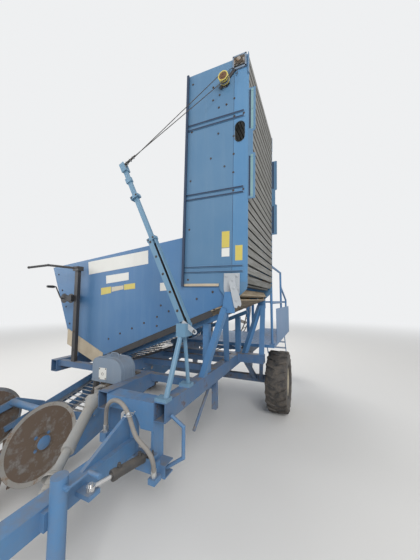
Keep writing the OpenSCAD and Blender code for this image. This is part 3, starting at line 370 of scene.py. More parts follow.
def facing(place, normal):
    return Matrix.Translation(place) @ Vector(normal).to_track_quat("Z", "Y").to_matrix().to_4x4()


def axes(place, run, side):
    return Matrix.Translation(place) @ Matrix((run, side, run.cross(side))).transposed().to_4x4()


def around(turn, radius, angle, height=0.0):
    return turn @ Vector((radius * math.cos(angle), radius * math.sin(angle), height))


def addRound(bm, place, normal, profile, sides=16):
    # profile: radius and height pairs, from the foot up; turned round the normal
    turn = facing(place, normal)
    skin(bm, [[bm.verts.new(around(turn, radius, fullTurn * i / sides, height)) for i in range(sides)]
              for radius, height in profile])


def addRing(bm, turn, profile, sides=32):
    # closed profile of radius and height pairs, turned round the Z of turn
    skin(bm, [[bm.verts.new(around(turn, radius, fullTurn * i / sides, height)) for radius, height in profile]
              for i in range(sides)], closed=True)


def addBolt(bm, place, normal, size):
    # washer and six-sided head
    head = [(size * 0.56, 0.0015), (size * 0.56, size * 0.36), (size * 0.46, size * 0.45)]
    addRound(bm, place, normal, [(size * 0.95, 0), (size * 0.95, 0.0025)], 12)
    addRound(bm, place, normal, head, 6)


def smoothPath(points, steps=6):
    # Catmull-Rom through the points
    points = [Vector(p) for p in points]
    found = []
    ends = [points[0] * 2 - points[1]] + points + [points[-1] * 2 - points[-2]]
    for i in range(len(points) - 1):
        a, b, c, d = ends[i:i + 4]
        for k in range(steps):
            t = k / steps
            found.append(0.5 * (2 * b + (c - a) * t + (2 * a - 5 * b + 4 * c - d) * t * t
                         + (3 * b - a - 3 * c + d) * t * t * t))
    found.append(points[-1])
    return found


def addTube(bm, path, radius, sides=10):
    rings = []
    side = None
    for i, p in enumerate(path):
        ahead = (path[min(i + 1, len(path) - 1)] - path[max(i - 1, 0)]).normalized()
        if side is None:
            side = ahead.orthogonal().normalized()
        side = (side - ahead * side.dot(ahead)).normalized()
        up = ahead.cross(side)
        rings.append([bm.verts.new(p + radius * (side * math.cos(fullTurn * k / sides)
                      + up * math.sin(fullTurn * k / sides))) for k in range(sides)])
    skin(bm, rings)


def addPlates(plates, face, body, turn=Matrix()):
    for name, corners, material in plates:
        bm = bmesh.new()
        addPrism(bm, [turn @ Vector((x, face, z)) for x, z in corners], (0, -0.002, 0))
        piece(name, bm, material, body, 0.0006)


# Hose from the valve block to the socket on the portal's foot, with its ferrules and a wire tie

hose = {"diameter": 0.028, "length": 0.91, "tie": 52, "route": [
    (0.344, -1.368, 0.680), (0.344, -1.368, 0.720), (0.350, -1.374, 0.775), (0.366, -1.388, 0.830),
    (0.396, -1.406, 0.880), (0.440, -1.422, 0.918), (0.492, -1.434, 0.938), (0.545, -1.440, 0.932),
    (0.590, -1.444, 0.902), (0.622, -1.444, 0.856), (0.646, -1.444, 0.804), (0.674, -1.444, 0.758),
    (0.712, -1.442, 0.724), (0.752, -1.436, 0.692), (0.780, -1.426, 0.650), (0.786, -1.412, 0.600),
    (0.780, -1.398, 0.560), (0.776, -1.392, 0.536), (0.776, -1.392, 0.512)],
    "nut": [(0.0185, 0), (0.0185, 0.014), (0.0165, 0.0155)],
    "crimp": [(0.0138, 0), (0.0168, 0.001), (0.0176, 0.005), (0.0166, 0.009), (0.0176, 0.013),
              (0.0166, 0.017), (0.0176, 0.021), (0.0166, 0.025), (0.0172, 0.030), (0.0138, 0.032)],
    # wire tie: turns of radius, angle step and rise; curled ends of radius and angle step; a loose loop
    "wire": (0.0158, 0.35, 0.0032), "curl": (0.0042, 1.1), "wireRadius": 0.0016, "loopLean": 0.5,
    "loop": [(0.030, -0.0022), (0.0322, 0), (0.030, 0.0022), (0.0278, 0)]}
hosePath = smoothPath(hose["route"])
print("hose length:", round(sum((b - a).length for a, b in zip(hosePath, hosePath[1:])), 4))
bm = bmesh.new()
addTube(bm, hosePath, hose["diameter"] / 2, 20)
hosePiece = piece("hydraulicHose", bm, hoseRubber, "frame", angle=60)
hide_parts("hydraulic_hose")
bm = bmesh.new()
for foot, second in ((hosePath[0], hosePath[1]), (hosePath[-1], hosePath[-2])):
    along = (second - foot).normalized()
    addRound(bm, foot, along, hose["nut"], 6)
    addRing(bm, facing(foot + 0.015 * along, along), hose["crimp"], 24)
ferrules = piece("hoseFerrules", bm, zincSteel, "frame")
knot = hosePath[hose["tie"]]
turn = facing(knot, hosePath[hose["tie"] + 1] - knot)
(radius, step, rise), (curl, curlStep) = hose["wire"], hose["curl"]
wire = [around(turn, radius, k * step, -0.012 + rise * k * step / 6.28) for k in range(80)]
for k in range(12):
    across, up = curl * math.sin(k * curlStep), curl * math.cos(k * curlStep)
    wire.append(turn @ Vector((0.019 + curl * k, across, 0.004 + up)))
bm = bmesh.new()
addTube(bm, wire, hose["wireRadius"], 6)
addRing(bm, turn @ Matrix.Rotation(hose["loopLean"], 4, "X"), hose["loop"], 32)
tie = piece("hoseTie", bm, zincSteel, "frame", angle=60)
print("hose laid")

# Blank plates on the hopper's front wall: name, corners in X and Z, finish

hopperPlates = {"face": -0.704, "plates": [
    ("hopperSign", [(-0.708, 2.045), (0.155, 2.113), (0.16, 1.972), (-0.689, 1.895)], whitePlate),
    ("hopperPlate", [(-0.419, 1.871), (-0.095, 1.896), (-0.092, 1.813), (-0.412, 1.782)], whitePlate),
    ("hopperTagOuter", [(-0.489, 1.735), (-0.339, 1.749), (-0.336, 1.677), (-0.485, 1.656)], yellowPlate),
    ("hopperStrip", [(-0.33, 1.742), (-0.163, 1.758), (-0.161, 1.716), (-0.328, 1.690)], beigePlate),
    ("hopperTagInner", [(-0.154, 1.766), (-0.005, 1.778), (-0.003, 1.720), (-0.152, 1.707)], yellowPlate),
    ("hopperTagEdge", [(0.31, 1.769), (0.428, 1.776), (0.429, 1.697), (0.312, 1.689)], whitePlate)]}
addPlates(hopperPlates["plates"], hopperPlates["face"], "frame")

# Pieces on the elevator are laid out in its own frame: hinge at the origin, Z up along the panels

elevator = {"hinge": (1.06, 0, 1.64), "lean": 1.2, "inner": {"front": -0.710, "rear": 0.534}, "sheet": 0.004,
            "boltSize": 0.0105,
            "bolts": [(0.003, 1.445), (0.005, 1.275), (0.004, 1.104), (-0.082, 1.177), (-0.22, 1.283),
                      (-0.148, 1.51), (-0.147, 1.768), (-0.071, 1.774), (0.005, 1.809), (-0.142, 1.892),
                      (-0.207, 1.859), (-0.209, 1.991), (0.097, 1.639), (0.007, 1.636), (0.098, 0.933),
                      (0.006, 0.935), (-0.43, 0.14), (-0.43, 0.62), (-0.43, 1.1), (-0.43, 1.6), (-0.43, 2.1)]}
elevPlace = Matrix.Translation(elevator["hinge"]) @ Matrix.Rotation(math.radians(elevator["lean"]), 4, "Y")


def onElev(x, y, z):
    return elevPlace @ Vector((x, y, z))


def bothSides(out):
    # front and rear face of the elevator, so far outside the sheets' inner faces, with the way out
    return (elevator["inner"]["front"] - out, -1), (elevator["inner"]["rear"] + out, 1)


def elevBox(bm, x, y, z):
    addBox(bm, (x[0], y[0], z[0]), (x[1], y[1], z[1]), elevPlace)


bm = bmesh.new()
for face, side in bothSides(elevator["sheet"]):
    for x, z in elevator["bolts"]:
        addBolt(bm, onElev(x, face, z), (0, side, 0), elevator["boltSize"])
piece("elevatorBolts", bm, boltSteel, "elevator")
panelTags = {"face": -0.7135, "plates": [
    ("panelTagUpper", [(-0.097, 0.423), (-0.097, 0.57), (-0.024, 0.57), (-0.024, 0.423)], yellowPlate),
    ("panelTagLower", [(-0.096, 0.342), (-0.096, 0.418), (-0.023, 0.418), (-0.023, 0.342)], whitePlate),
    ("panelTagOuter", [(0.03, 0.303), (0.03, 0.436), (0.096, 0.436), (0.096, 0.303)], yellowPlate)]}
addPlates(panelTags["plates"], panelTags["face"], "elevator", elevPlace)

# Side panels: two lapped sheets, the outer with its hand hole, pressed ribs, lips, ear and slotted guard

sidePanel = {"x": (-0.486, 0.142), "z": (0.076, 2.197), "seam": 0.003, "lap": 0.004, "proud": 0.0008,
             # hand hole: middle, radius of its ends, half its straight part; head shaft: middle and radius
             "hole": (0.060, 1.476, 0.048, 0.050), "shaft": (0.054, 2.146, 0.026),
             "ribs": (0.233, 0.933, 1.639), "ribX": (-0.481, 0.107), "ribOff": 0.024, "ribHigh": 0.009,
             "ribWide": (0.011, 0.0075), "sunk": 0.001, "earOut": 0.008, "guardOut": 0.006,
             # inner flange and corner angle: sheet, how far out, length of the angle; bead round the hole
             "flange": (0.006, 0.024), "angle": (0.006, 0.022, 0.19), "bead": 0.0028,
             "ear": [(-0.110, 0.116), (-0.110, 0.056), (-0.046, -0.030), (-0.026, -0.040), (0.0, -0.048),
                     (0.026, -0.040), (0.046, -0.030), (0.138, 0.056), (0.138, 0.116)], "pin": 0.0201,
             "guard": [(0.140, 0.836), (0.200, 0.836), (0.204, 0.840), (0.204, 1.240), (0.182, 1.250),
                       (0.182, 1.445), (0.204, 1.455), (0.204, 1.852), (0.200, 1.856), (0.140, 1.856)],
             "slots": ((0.862, 1.222), (1.475, 1.838)), "slotX": (0.1455, 0.1610)}


def circlePoints(cx, cz, radius, count=32):
    return [(cx + radius * math.cos(fullTurn * i / count), cz + radius * math.sin(fullTurn * i / count))
            for i in range(count)]


def addSheet(bm, outline, holes, low, high):
    # flat sheet with holes, outline in X and Z, between two values of Y
    curve = bpy.data.curves.new("outline", "CURVE")
    curve.dimensions = "2D"
    curve.fill_mode = "BOTH"
    curve.extrude = abs(high - low) / 2
    for loop in [outline] + holes:
        spline = curve.splines.new("POLY")
        spline.points.add(len(loop) - 1)
        for point, (x, z) in zip(spline.points, loop):
            point.co = (x, z, 0, 1)
        spline.use_cyclic_u = True
    thing = bpy.data.objects.new("outline", curve)
    part = bmesh.new()
    part.from_mesh(thing.to_mesh())
    thing.to_mesh_clear()
    bpy.data.objects.remove(thing)
    bpy.data.curves.remove(curve)
    bmesh.ops.remove_doubles(part, verts=part.verts, dist=0.00002)
    place = elevPlace @ Matrix.Translation((0, (low + high) / 2, 0)) @ Matrix.Rotation(math.pi / 2, 4, "X")
    bmesh.ops.transform(part, matrix=place, verts=part.verts)
    mesh = bpy.data.meshes.new("outline")
    part.to_mesh(mesh)
    part.free()
    bm.from_mesh(mesh)
    bpy.data.meshes.remove(mesh)


def addRib(bm, z, face, side):
    (x0, x1), (wide, narrow) = sidePanel["ribX"], sidePanel["ribWide"]
    rings = []
    for y, end, half in ((face, x1, wide), (face + side * sidePanel["ribHigh"], x1 - 0.008, narrow)):
        corners = [(x0, z - half), (end, z - half), (end, z + half), (x0, z + half)]
        rings.append([bm.verts.new(onElev(x, y, at)) for x, at in corners])
    skin(bm, rings)


hx, hz, hr, hh = sidePanel["hole"]
handHole = []
for half, middle in ((0, hz + hh), (1, hz - hh)):
    for k in range(17):
        angle = math.pi * (k / 16 + half)
        handHole.append((hx + hr * math.cos(angle), middle + hr * math.sin(angle)))
(x0, x1), (z0, z1), seam = sidePanel["x"], sidePanel["z"], sidePanel["seam"]
lapped = seam + sidePanel["lap"]
for name, side in (("front", -1), ("rear", 1)):
    inner = elevator["inner"][name]
    face = inner + side * elevator["sheet"]
    root = face - side * sidePanel["sunk"]
    bm = bmesh.new()
    addSheet(bm, [(x0, z0), (lapped, z0), (lapped, z1), (x0 + 0.006, z1), (x0, z1 - 0.006)], [], inner, face)
    pinHole = circlePoints(0, 0, sidePanel["pin"])
    addSheet(bm, sidePanel["ear"], [pinHole], root, face + side * sidePanel["earOut"])
    s0, s1 = sidePanel["slotX"]
    slots = [[(s0, low), (s1, low), (s1, high), (s0, high)] for low, high in sidePanel["slots"]]
    addSheet(bm, sidePanel["guard"], slots, face, face + side * sidePanel["guardOut"])
    for z in sidePanel["ribs"]:
        for off in (-sidePanel["ribOff"], sidePanel["ribOff"]):
            addRib(bm, z + off, root, side)
    # inner flange, corner angle and the lip of the hand hole
    thick, out = sidePanel["flange"]
    elevBox(bm, (x0, x0 + thick), (root, face + side * out), (z0, z1))
    thick, out, long = sidePanel["angle"]
    elevBox(bm, (x1 - thick, x1), (root, face + side * out), (z1 - long, z1))
    lip = [onElev(hx + (x - hx) * 1.03, face, hz + (z - hz) * 1.015) for x, z in handHole]
    addTube(bm, lip + lip[:2], sidePanel["bead"], 8)
    sheet = piece("sidePanel" + name.title(), bm, panelPaint, "elevator",
                  0.0012, 30)
    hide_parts("elevator_" + name + "_side")
    # outer sheet, lapped over the seam
    bm = bmesh.new()
    addSheet(bm, [(seam, z0), (x1, z0), (x1, z1 - 0.004), (x1 - 0.004, z1), (seam, z1)],
             [handHole, circlePoints(*sidePanel["shaft"])], inner, face + side * sidePanel["proud"])
    sheet = piece("edgePanel" + name.title(), bm, edgePaint, "elevator",
                  0.0006, 30)
    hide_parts("elevator_" + name + "_side")

# angled hinge plate, bolted over the ear
hingePlate = {"outline": [(-0.067, 0.192), (-0.067, 0.05), (-0.042, -0.03), (0.05, -0.03), (0.076, 0.02),
                          (0.076, 0.192)], "out": 0.012, "thick": 0.006,
              "bolts": [(-0.045, 0.17), (0.052, 0.17), (0.052, 0.06)]}
bm = bmesh.new()
for face, side in bothSides(hingePlate["out"]):
    addPrism(bm, [onElev(x, face, z) for x, z in hingePlate["outline"]], (0, side * hingePlate["thick"], 0))
    for x, z in hingePlate["bolts"]:
        addBolt(bm, onElev(x, face + side * hingePlate["thick"], z), (0, side, 0), 0.02)
piece("hingePlates", bm, lugPaint, "elevator", 0.001)

# pale stay on the front hinge plate of the frame
stay = {"outline": [(1.062, 1.745), (1.078, 1.792), (1.112, 1.800), (1.122, 1.715), (1.150, 1.640),
                    (1.168, 1.568), (1.160, 1.545), (1.140, 1.556), (1.128, 1.532), (1.106, 1.540),
                    (1.088, 1.625)],
        "y": -0.7765, "thick": 0.006, "bolts": [(1.092, 1.770), (1.105, 1.70), (1.128, 1.60)]}
bm = bmesh.new()
addPrism(bm, [Vector((x, stay["y"], z)) for x, z in stay["outline"]], (0, -stay["thick"], 0))
for x, z in stay["bolts"]:
    addBolt(bm, (x, stay["y"] - stay["thick"], z), toFront, 0.016)
piece("hingeStay", bm, lugPaint, "frame", 0.001)

# flanged bearings of the head shaft, in their square frames
bearing = {"middle": (0.054, 2.146), "out": 0.026, "frame": 0.066, "bar": 0.014,
           "flange": [(0.037, -0.002), (0.037, 0.008), (0.033, 0.012), (0.0255, 0.013), (0.0245, 0.007),
                      (0.0215, 0.006)],
           "nipple": [(0.004, -0.004), (0.004, 0.003), (0.0025, 0.006), (0.0035, 0.008), (0.002, 0.01)]}
bm = bmesh.new()
cx, cz = bearing["middle"]
for face, side in bothSides(bearing["out"]):
    addRound(bm, onElev(cx, face, cz), (0, side, 0), bearing["flange"], 32)
    for dx in (-0.038, 0.038):
        for dz in (-0.028, 0.028):
            addBolt(bm, onElev(cx + dx, face, cz + dz), (0, side, 0), 0.012)
    addRound(bm, onElev(cx + 0.02, face + side * 0.006, cz + 0.03), (0.4, side, 0.5), bearing["nipple"], 8)
piece("headBearings", bm, castGrey, "elevator", 0.0006)
bm = bmesh.new()
half, bar = bearing["frame"], bearing["bar"]
for face, side in bothSides(elevator["sheet"]):
    for low, high in [((-half, -half), (half, -half + bar)), ((-half, half - bar), (half, half)),
                      ((-half, -half), (-half + bar, half)), ((half - bar, -half), (half, half))]:
        elevBox(bm, (cx + low[0], cx + high[0]), (face, face + side * 0.016), (cz + low[1], cz + high[1]))
piece("bearingFrames", bm, coverPaint, "elevator", 0.0015)

# navy strips as painted shade along the edges of the pressed ribs, over the inner flange and in the backs of
# the slots, and a dark line on the seam
paintedShadeStrips = {"out": 0.0128, "thick": 0.0006, "ribX": (-0.480, 0.098),
            "ribs": ((0.233, 0.006), (0.933, 0.0125), (1.639, 0.0135)),
            # strips: X, near and far face out from the ribs' edges, Z
            "strips": [((-0.4885, -0.4660), (0.002, 0.0165), (0.078, 2.195)),
                       ((0.0004, 0.0034), (-0.0090, -0.0074), (0.080, 2.05)),
                       ((0.1425, 0.1640), (-0.0100, -0.0084), (0.856, 1.228)),
                       ((0.1425, 0.1640), (-0.0100, -0.0084), (1.469, 1.844))]}
bm = bmesh.new()
for face, side in bothSides(paintedShadeStrips["out"]):
    for place, wide in paintedShadeStrips["ribs"]:
        for z in (place - sidePanel["ribOff"], place + sidePanel["ribOff"]):
            elevBox(bm, paintedShadeStrips["ribX"], (face, face + side * paintedShadeStrips["thick"]),
                    (z - wide / 2, z + wide / 2))
    for x, (near, far), z in paintedShadeStrips["strips"]:
        elevBox(bm, x, (face + side * near, face + side * far), z)
piece("ribPaintedShade", bm, shadeNavyPaint, "elevator", 0.0004)

# pale guard strips, and the board at the foot
strip = {"out": 0.0065, "x": (0.1635, 0.1850), "z": ((0.850, 1.232), (1.465, 1.846)), "thick": 0.005,
         "bolt": 0.174}
footBoard = {"out": 0.0042, "x": (-0.472, -0.118), "z": (0.079, 0.103), "thick": 0.006}
bm = bmesh.new()
for low, high in strip["z"]:
    for face, side in bothSides(strip["out"]):
        elevBox(bm, strip["x"], (face, face + side * strip["thick"]), (low, high))
        for z in (low + 0.02, (low + high) / 2, high - 0.02):
            addBolt(bm, onElev(strip["bolt"], face + side * strip["thick"], z), (0, side, 0), 0.008)
piece("guardStrips", bm, stripPaint, "elevator", 0.0008)
bm = bmesh.new()
for face, side in bothSides(footBoard["out"]):
    elevBox(bm, footBoard["x"], (face, face + side * footBoard["thick"]), footBoard["z"])
piece("footBoards", bm, skirtRubber, "elevator", 0.001)

# black bracket that carries the sheave, with its spring and hook
headArm = {"sheave": (-0.083, 2.0), "bearing": (0.03, 2.11), "out": 0.0045, "coil": 0.0075,
           "hook": [(0.1, 0.019, 0.029), (0.12, 0.018, 0.02), (0.125, 0.014, -0.03), (0.11, 0.014, -0.06),
                    (0.095, 0.014, -0.045)]}
bm = bmesh.new()
for face, side in bothSides(headArm["out"]):
    a = onElev(headArm["sheave"][0], face, headArm["sheave"][1])
    b = onElev(headArm["bearing"][0], face, headArm["bearing"][1])
    turn, coil = axes(a, (b - a).normalized(), crosswise), headArm["coil"]
    addBox(bm, (-0.075, 0, -0.016), ((b - a).length, side * 0.011, 0.016), turn)
    addBox(bm, (-0.03, 0, -0.052), (0.012, side * 0.011, -0.012), turn)
    addTube(bm, [turn @ Vector((0.015 + 0.085 * k / 60, side * 0.019 + coil * math.cos(k * 0.9),
                                0.029 + coil * math.sin(k * 0.9))) for k in range(61)], 0.0018, 6)
    addTube(bm, smoothPath([turn @ Vector((x, side * y, z)) for x, y, z in headArm["hook"]]), 0.003, 8)
piece("headBrackets", bm, blackPaint, "elevator", 0.0008)

# sheave over the plain pulley: grooved wheel, flanged rim, sunk web, hub with its pin
sheave = {"middle": (-0.083, 2.0), "faces": ((-0.787, -1), (-0.736, 1)), "back": -0.752,
          "rim": [(0.0465, -0.003), (0.0475, -0.001), (0.0475, 0.003), (0.045, 0.0045), (0.040, 0.0045),
                  (0.037, 0.001)],
          "wheel": [(0.030, -0.002), (0.030, 0.008), (0.047, 0.014), (0.047, 0.019), (0.0395, 0.0235),
                    (0.0395, 0.0285), (0.047, 0.033), (0.047, 0.036)],
          "hub": [(0.0365, 0.0), (0.0365, 0.0012), (0.022, 0.0016), (0.0195, 0.006), (0.013, 0.0072),
                  (0.0125, 0.004)]}
cx, cz = sheave["middle"]
rims, hubs = bmesh.new(), bmesh.new()
for face, side in sheave["faces"]:
    addRound(rims, onElev(cx, face, cz), (0, side, 0), sheave["rim"], 48)
    addRound(hubs, onElev(cx, face, cz), (0, side, 0), sheave["hub"], 32)
addRound(rims, onElev(cx, sheave["back"], cz), toFront, sheave["wheel"], 48)
piece("sheaveRims", rims, yellowPlate, "elevator")
piece("sheaveHubs", hubs, rustySteel, "elevator")
print("elevator dressed")

# Rope round the sheave in two falls: six strands laid round each other, an eye with clips at the mast

mast = {"foot": (0.815, -1.075, 1.425), "lean": 25.5, "flat": (-0.036, 0.009), "thick": 0.006,
        "face": -0.020, "top": 0.765, "bolts": (0.11, 0.27, 0.43, 0.59, 0.73), "pin": 1.55,
        "collars": (0.74, 1.18), "collarHalf": 0.0405, "collarHigh": 0.03}
rope = {"radius": 0.0036, "strand": 0.0017, "lay": 0.05, "steps": 14, "apart": 0.008, "reach": 0.0432,
        "tail": 0.0075, "clips": (0.045, 0.085, 0.12),
        "eye": ([(0.0205, -0.004), (0.0205, 0.004), (0.0185, 0.0025), (0.0185, -0.0025)],
                [(0.0125, -0.0042), (0.0125, 0.0042), (0.0085, 0.0038), (0.0085, -0.0038)],
                [(0.0188, -0.0026), (0.0188, 0.0026), (0.0122, 0.0034), (0.0122, -0.0034)]),
        "clip": (((-0.006, -0.012, -0.0055), (0.006, 0.012, -0.001)),
                 ((-0.0025, -0.013, -0.001), (0.0025, -0.009, 0.006)),
                 ((-0.0025, 0.009, -0.001), (0.0025, 0.013, 0.006)))}
lean = math.radians(mast["lean"])
tipPin = Vector(mast["foot"]) + mast["pin"] * Vector((-math.sin(lean), 0, math.cos(lean)))
hub = onElev(cx, -0.770 - rope["apart"], cz)


def addRope(bm, start, end):
    length = (end - start).length
    turn = facing(start, end - start)
    steps = int(length / rope["lay"] * rope["steps"])
    for strand in range(6):
        path = []
        for i in range(steps + 1):
            angle = fullTurn * (i / rope["steps"] + strand / 6)
            path.append(around(turn, rope["radius"] - rope["strand"], angle, length * i / steps))
        addTube(bm, path, rope["strand"], 5)


for name, node, body, falls in [("ropeMastFall", "rope_mast_fall", "mast_fall", 1),
                                ("ropeElevatorFall", "rope_elevator_fall", "elevator_fall", -1)]:
    start = tipPin + falls * rope["apart"] * crosswise
    # the first fall runs off the top of the sheave, the second off its underside
    across = (hub - start).cross(crosswise).normalized() * falls
    end = hub + across * rope["reach"]
    along = (end - start).normalized()
    out = along.cross(crosswise).normalized()
    tail = out * rope["tail"]
    bm = bmesh.new()
    addRope(bm, start + 0.019 * along, end - 0.004 * along)
    # tail folded back beside the eye
    addRope(bm, start + 0.018 * along + tail, start + 0.15 * along + tail)
    if falls < 0:
        halfTurn = [math.pi * k / 24 for k in range(25)]
        addTube(bm, [hub + rope["reach"] * (across * math.cos(a) + along * math.sin(a)) for a in halfTurn],
                rope["radius"] * 0.9, 8)
    lay = piece(name, bm, ropeSteel, body, angle=60)
    bm = bmesh.new()
    for profile in rope["eye"]:
        addRing(bm, facing(start, toRear), profile, 32)
    for reach in rope["clips"]:
        square = axes(start + reach * along + tail / 2, along, out)
        for low, high in rope["clip"]:
            addBox(bm, low, high, square)
    eye = piece(name + "Eye", bm, zincSteel, body, 0.0004)
    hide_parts(node)
    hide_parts(node)
print("ropes laid")

# Mast: bolted flat over the channel, a dark sheet behind it as painted shade of the channel's inside, two
# collars, lug with its hole at the foot

mastPlace = Matrix.Translation(mast["foot"]) @ Matrix.Rotation(-lean, 4, "Y")
face, top = mast["face"], mast["top"]
bm = bmesh.new()
addBox(bm, (mast["flat"][0], face - mast["thick"], 0.02), (mast["flat"][1], face, top), mastPlace)
addBox(bm, (0.0275, face - 0.0035, 0.035), (0.0365, face, top - 0.03), mastPlace)
half = mast["collarHalf"]
for z in mast["collars"]:
    addBox(bm, (-half, face - 0.0085, z), (half, 0.0245, z + mast["collarHigh"]), mastPlace)
piece("mastFlat", bm, palePaint, "frame", 0.0012)
bm = bmesh.new()
# dark sheet in the channel: painted shade of its hollow inside
addBox(bm, (-0.0285, 0.0105, 0.012), (0.0285, 0.0138, top), mastPlace)
for z in mast["bolts"]:
    addBolt(bm, mastPlace @ Vector((-0.014, face - mast["thick"], z)), toFront, 0.011)
for z in mast["collars"]:
    for x in (-0.026, 0.026):
        addBolt(bm, mastPlace @ Vector((x, face - 0.0085, z + mast["collarHigh"] / 2)), toFront, 0.009)
piece("mastBoltsAndShadeWeb", bm, boltSteel, "frame")
lug = {"eye": (0.905, -1.103, 1.365), "root": (0.823, -1.103, 1.418), "wide": 0.036, "thick": 0.006,
       "hole": 0.008}
bm = bmesh.new()
eye, root = Vector(lug["eye"]), Vector(lug["root"])
run = (eye - root).normalized()
half, thick = lug["wide"] / 2, lug["thick"]
addBox(bm, (-0.03, 0, -half), ((eye - root).length - 0.006, thick, half), axes(root, run, crosswise))
addRing(bm, facing(eye, toRear), [(half, 0), (half, thick), (lug["hole"], thick), (lug["hole"], 0)], 28)
for reach in (-0.012, 0.016):
    addBolt(bm, root + run * reach, toFront, 0.010)
piece("mastLug", bm, lugPaint, "frame", 0.0008)

# Tyres: ribbed sidewalls and chevron bars; rims get nuts and a cap

tyre = {"radius": 0.4225, "lugs": 20, "tilt": 26, "track": 1.195, "axle": (1.05, 0.4225),
        "section": [(0.2000, 0.1044), (0.2130, 0.1060), (0.2240, 0.1085), (0.2300, 0.1215), (0.2400, 0.1345),
                    (0.2520, 0.1372), (0.2545, 0.1400), (0.2600, 0.1402), (0.2625, 0.1385), (0.2900, 0.1448),
                    (0.3100, 0.1448), (0.3125, 0.1430), (0.3400, 0.1405), (0.3625, 0.1392), (0.3760, 0.1360),
                    (0.3850, 0.1300), (0.3950, 0.1130), (0.4030, 0.0800), (0.4070, 0.0400), (0.4080, 0.0)],
        "inside": [(0.2006, -0.06), (0.2006, 0.06)], "nuts": (0.046, 0.086),
        "washer": [(0.0165, 0), (0.0165, 0.003), (0.014, 0.0045)],
        "nut": [(0.0135, -0.002), (0.0135, 0.012), (0.0115, 0.0145)],
        "stud": [(0.0075, 0.012), (0.0075, 0.02), (0.0062, 0.0215)],
        "cap": [(0.052, -0.006), (0.052, 0.004), (0.049, 0.008), (0.036, 0.013), (0.014, 0.0155),
                (0.004, 0.016)]}


def addLug(bm, turn, side):
    # foot and top outlines follow the crown of the carcass
    rings = []
    for across in (0.006, 0.045, 0.085, 0.118, 0.138):
        foot = 0.396 - 0.05 * (across / 0.14) ** 4
        top = tyre["radius"] - 0.0015 - (0.02 if across > 0.13 else 0.004 * (across / 0.12) ** 3)
        lean = -across * math.tan(math.radians(tyre["tilt"]))
        wide = 0.017 if across < 0.1 else 0.021
        corners = [(foot, -wide), (top, -wide * 0.72), (top, wide * 0.72), (foot, wide)]
        rings.append([bm.verts.new(turn @ Vector((r, w + lean, side * across))) for r, w in corners])
    skin(bm, rings)


for name, side in (("Left", 1), ("Right", -1)):
    body = "wheel_" + name.lower()
    away = Matrix.Rotation(0 if side > 0 else math.pi, 4, "Z")
    hub = Matrix.Translation((side * tyre["track"], *tyre["axle"])) @ away
    spin = hub @ Matrix.Rotation(math.pi / 2, 4, "Y")
    out = hub.to_3x3() @ Vector((1, 0, 0))
    bm = bmesh.new()
    section = tyre["section"]
    addRing(bm, spin, section + [(r, -h) for r, h in section[-2::-1]] + tyre["inside"], 96)
    carcass = piece("tyre" + name, bm, tyreRubber, body, angle=28)
    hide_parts(body + "_tyre")
    bm = bmesh.new()
    for i in range(tyre["lugs"]):
        for lugSide, shift in ((-1, 0), (1, 9)):
            addLug(bm, spin @ Matrix.Rotation(math.radians(i * 18 + shift), 4, "Z"), lugSide)
    lugs = piece("tread" + name, bm, tyreRubber, body, 0.003)
    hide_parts(body + "_tyre")
    bm = bmesh.new()
    reach, radius = tyre["nuts"]
    for i in range(5):
        angle = fullTurn * i / 5
        place = hub @ Vector((reach, radius * math.sin(angle), radius * math.cos(angle)))
        addRound(bm, place - 0.004 * out, out, tyre["washer"], 16)
        addRound(bm, place, out, tyre["nut"], 6)
        addRound(bm, place, out, tyre["stud"], 12)
    piece("wheelNuts" + name, bm, rustySteel, body)
    bm = bmesh.new()
    addRound(bm, hub @ Vector((0.088, 0, 0)), out, tyre["cap"], 40)
    for i in range(4):
        turn = hub @ Matrix.Rotation(math.pi / 2 * i + 0.4, 4, "X")
        addBolt(bm, turn @ Vector((0.0965, 0, 0.043)), out, 0.007)
    piece("hubCap" + name, bm, bluePaint, body)
print("wheels dressed")

# Bolts along the hopper's floor line and on the skirt board, and a black strip over the floor chain as
# painted shade under the wall's lower edge

hopper = {"front": -0.704, "rear": 0.528, "boltSize": 0.0115, "bolts": [
    (-0.351, 1.179), (-0.19, 1.246), (-0.032, 1.306), (0.122, 1.368), (0.279, 1.345), (0.28, 1.433),
    (0.416, 1.491), (0.323, 1.546), (0.56, 1.546), (0.72, 1.61), (0.88, 1.672), (-0.98, 1.32), (-1.06, 1.52),
    (-1.14, 1.72), (-1.22, 1.92)], "shadeStripY": -0.7035, "shadeStripThick": 0.005,
    "guard": [(-0.360, 1.0225), (-0.3385, 0.9685), (0.8815, 1.4540), (0.860, 1.5080)]}
bm = bmesh.new()
for x, z in hopper["bolts"]:
    addBolt(bm, (x, hopper["front"], z), toFront, hopper["boltSize"])
    addBolt(bm, (x, hopper["rear"], z), toRear, hopper["boltSize"])
piece("hopperBolts", bm, boltSteel, "frame")
# black strip along the wall's lower edge: painted shade over the slats' ends
bm = bmesh.new()
addPrism(bm, [Vector((x, hopper["shadeStripY"], z)) for x, z in hopper["guard"]], (0, hopper["shadeStripThick"], 0))
piece("chainShadeStrip", bm, blackPaint, "frame", 0.001)

# Gear case: cover plates with bolts, a filler plug, and the fork of the shaft's joint

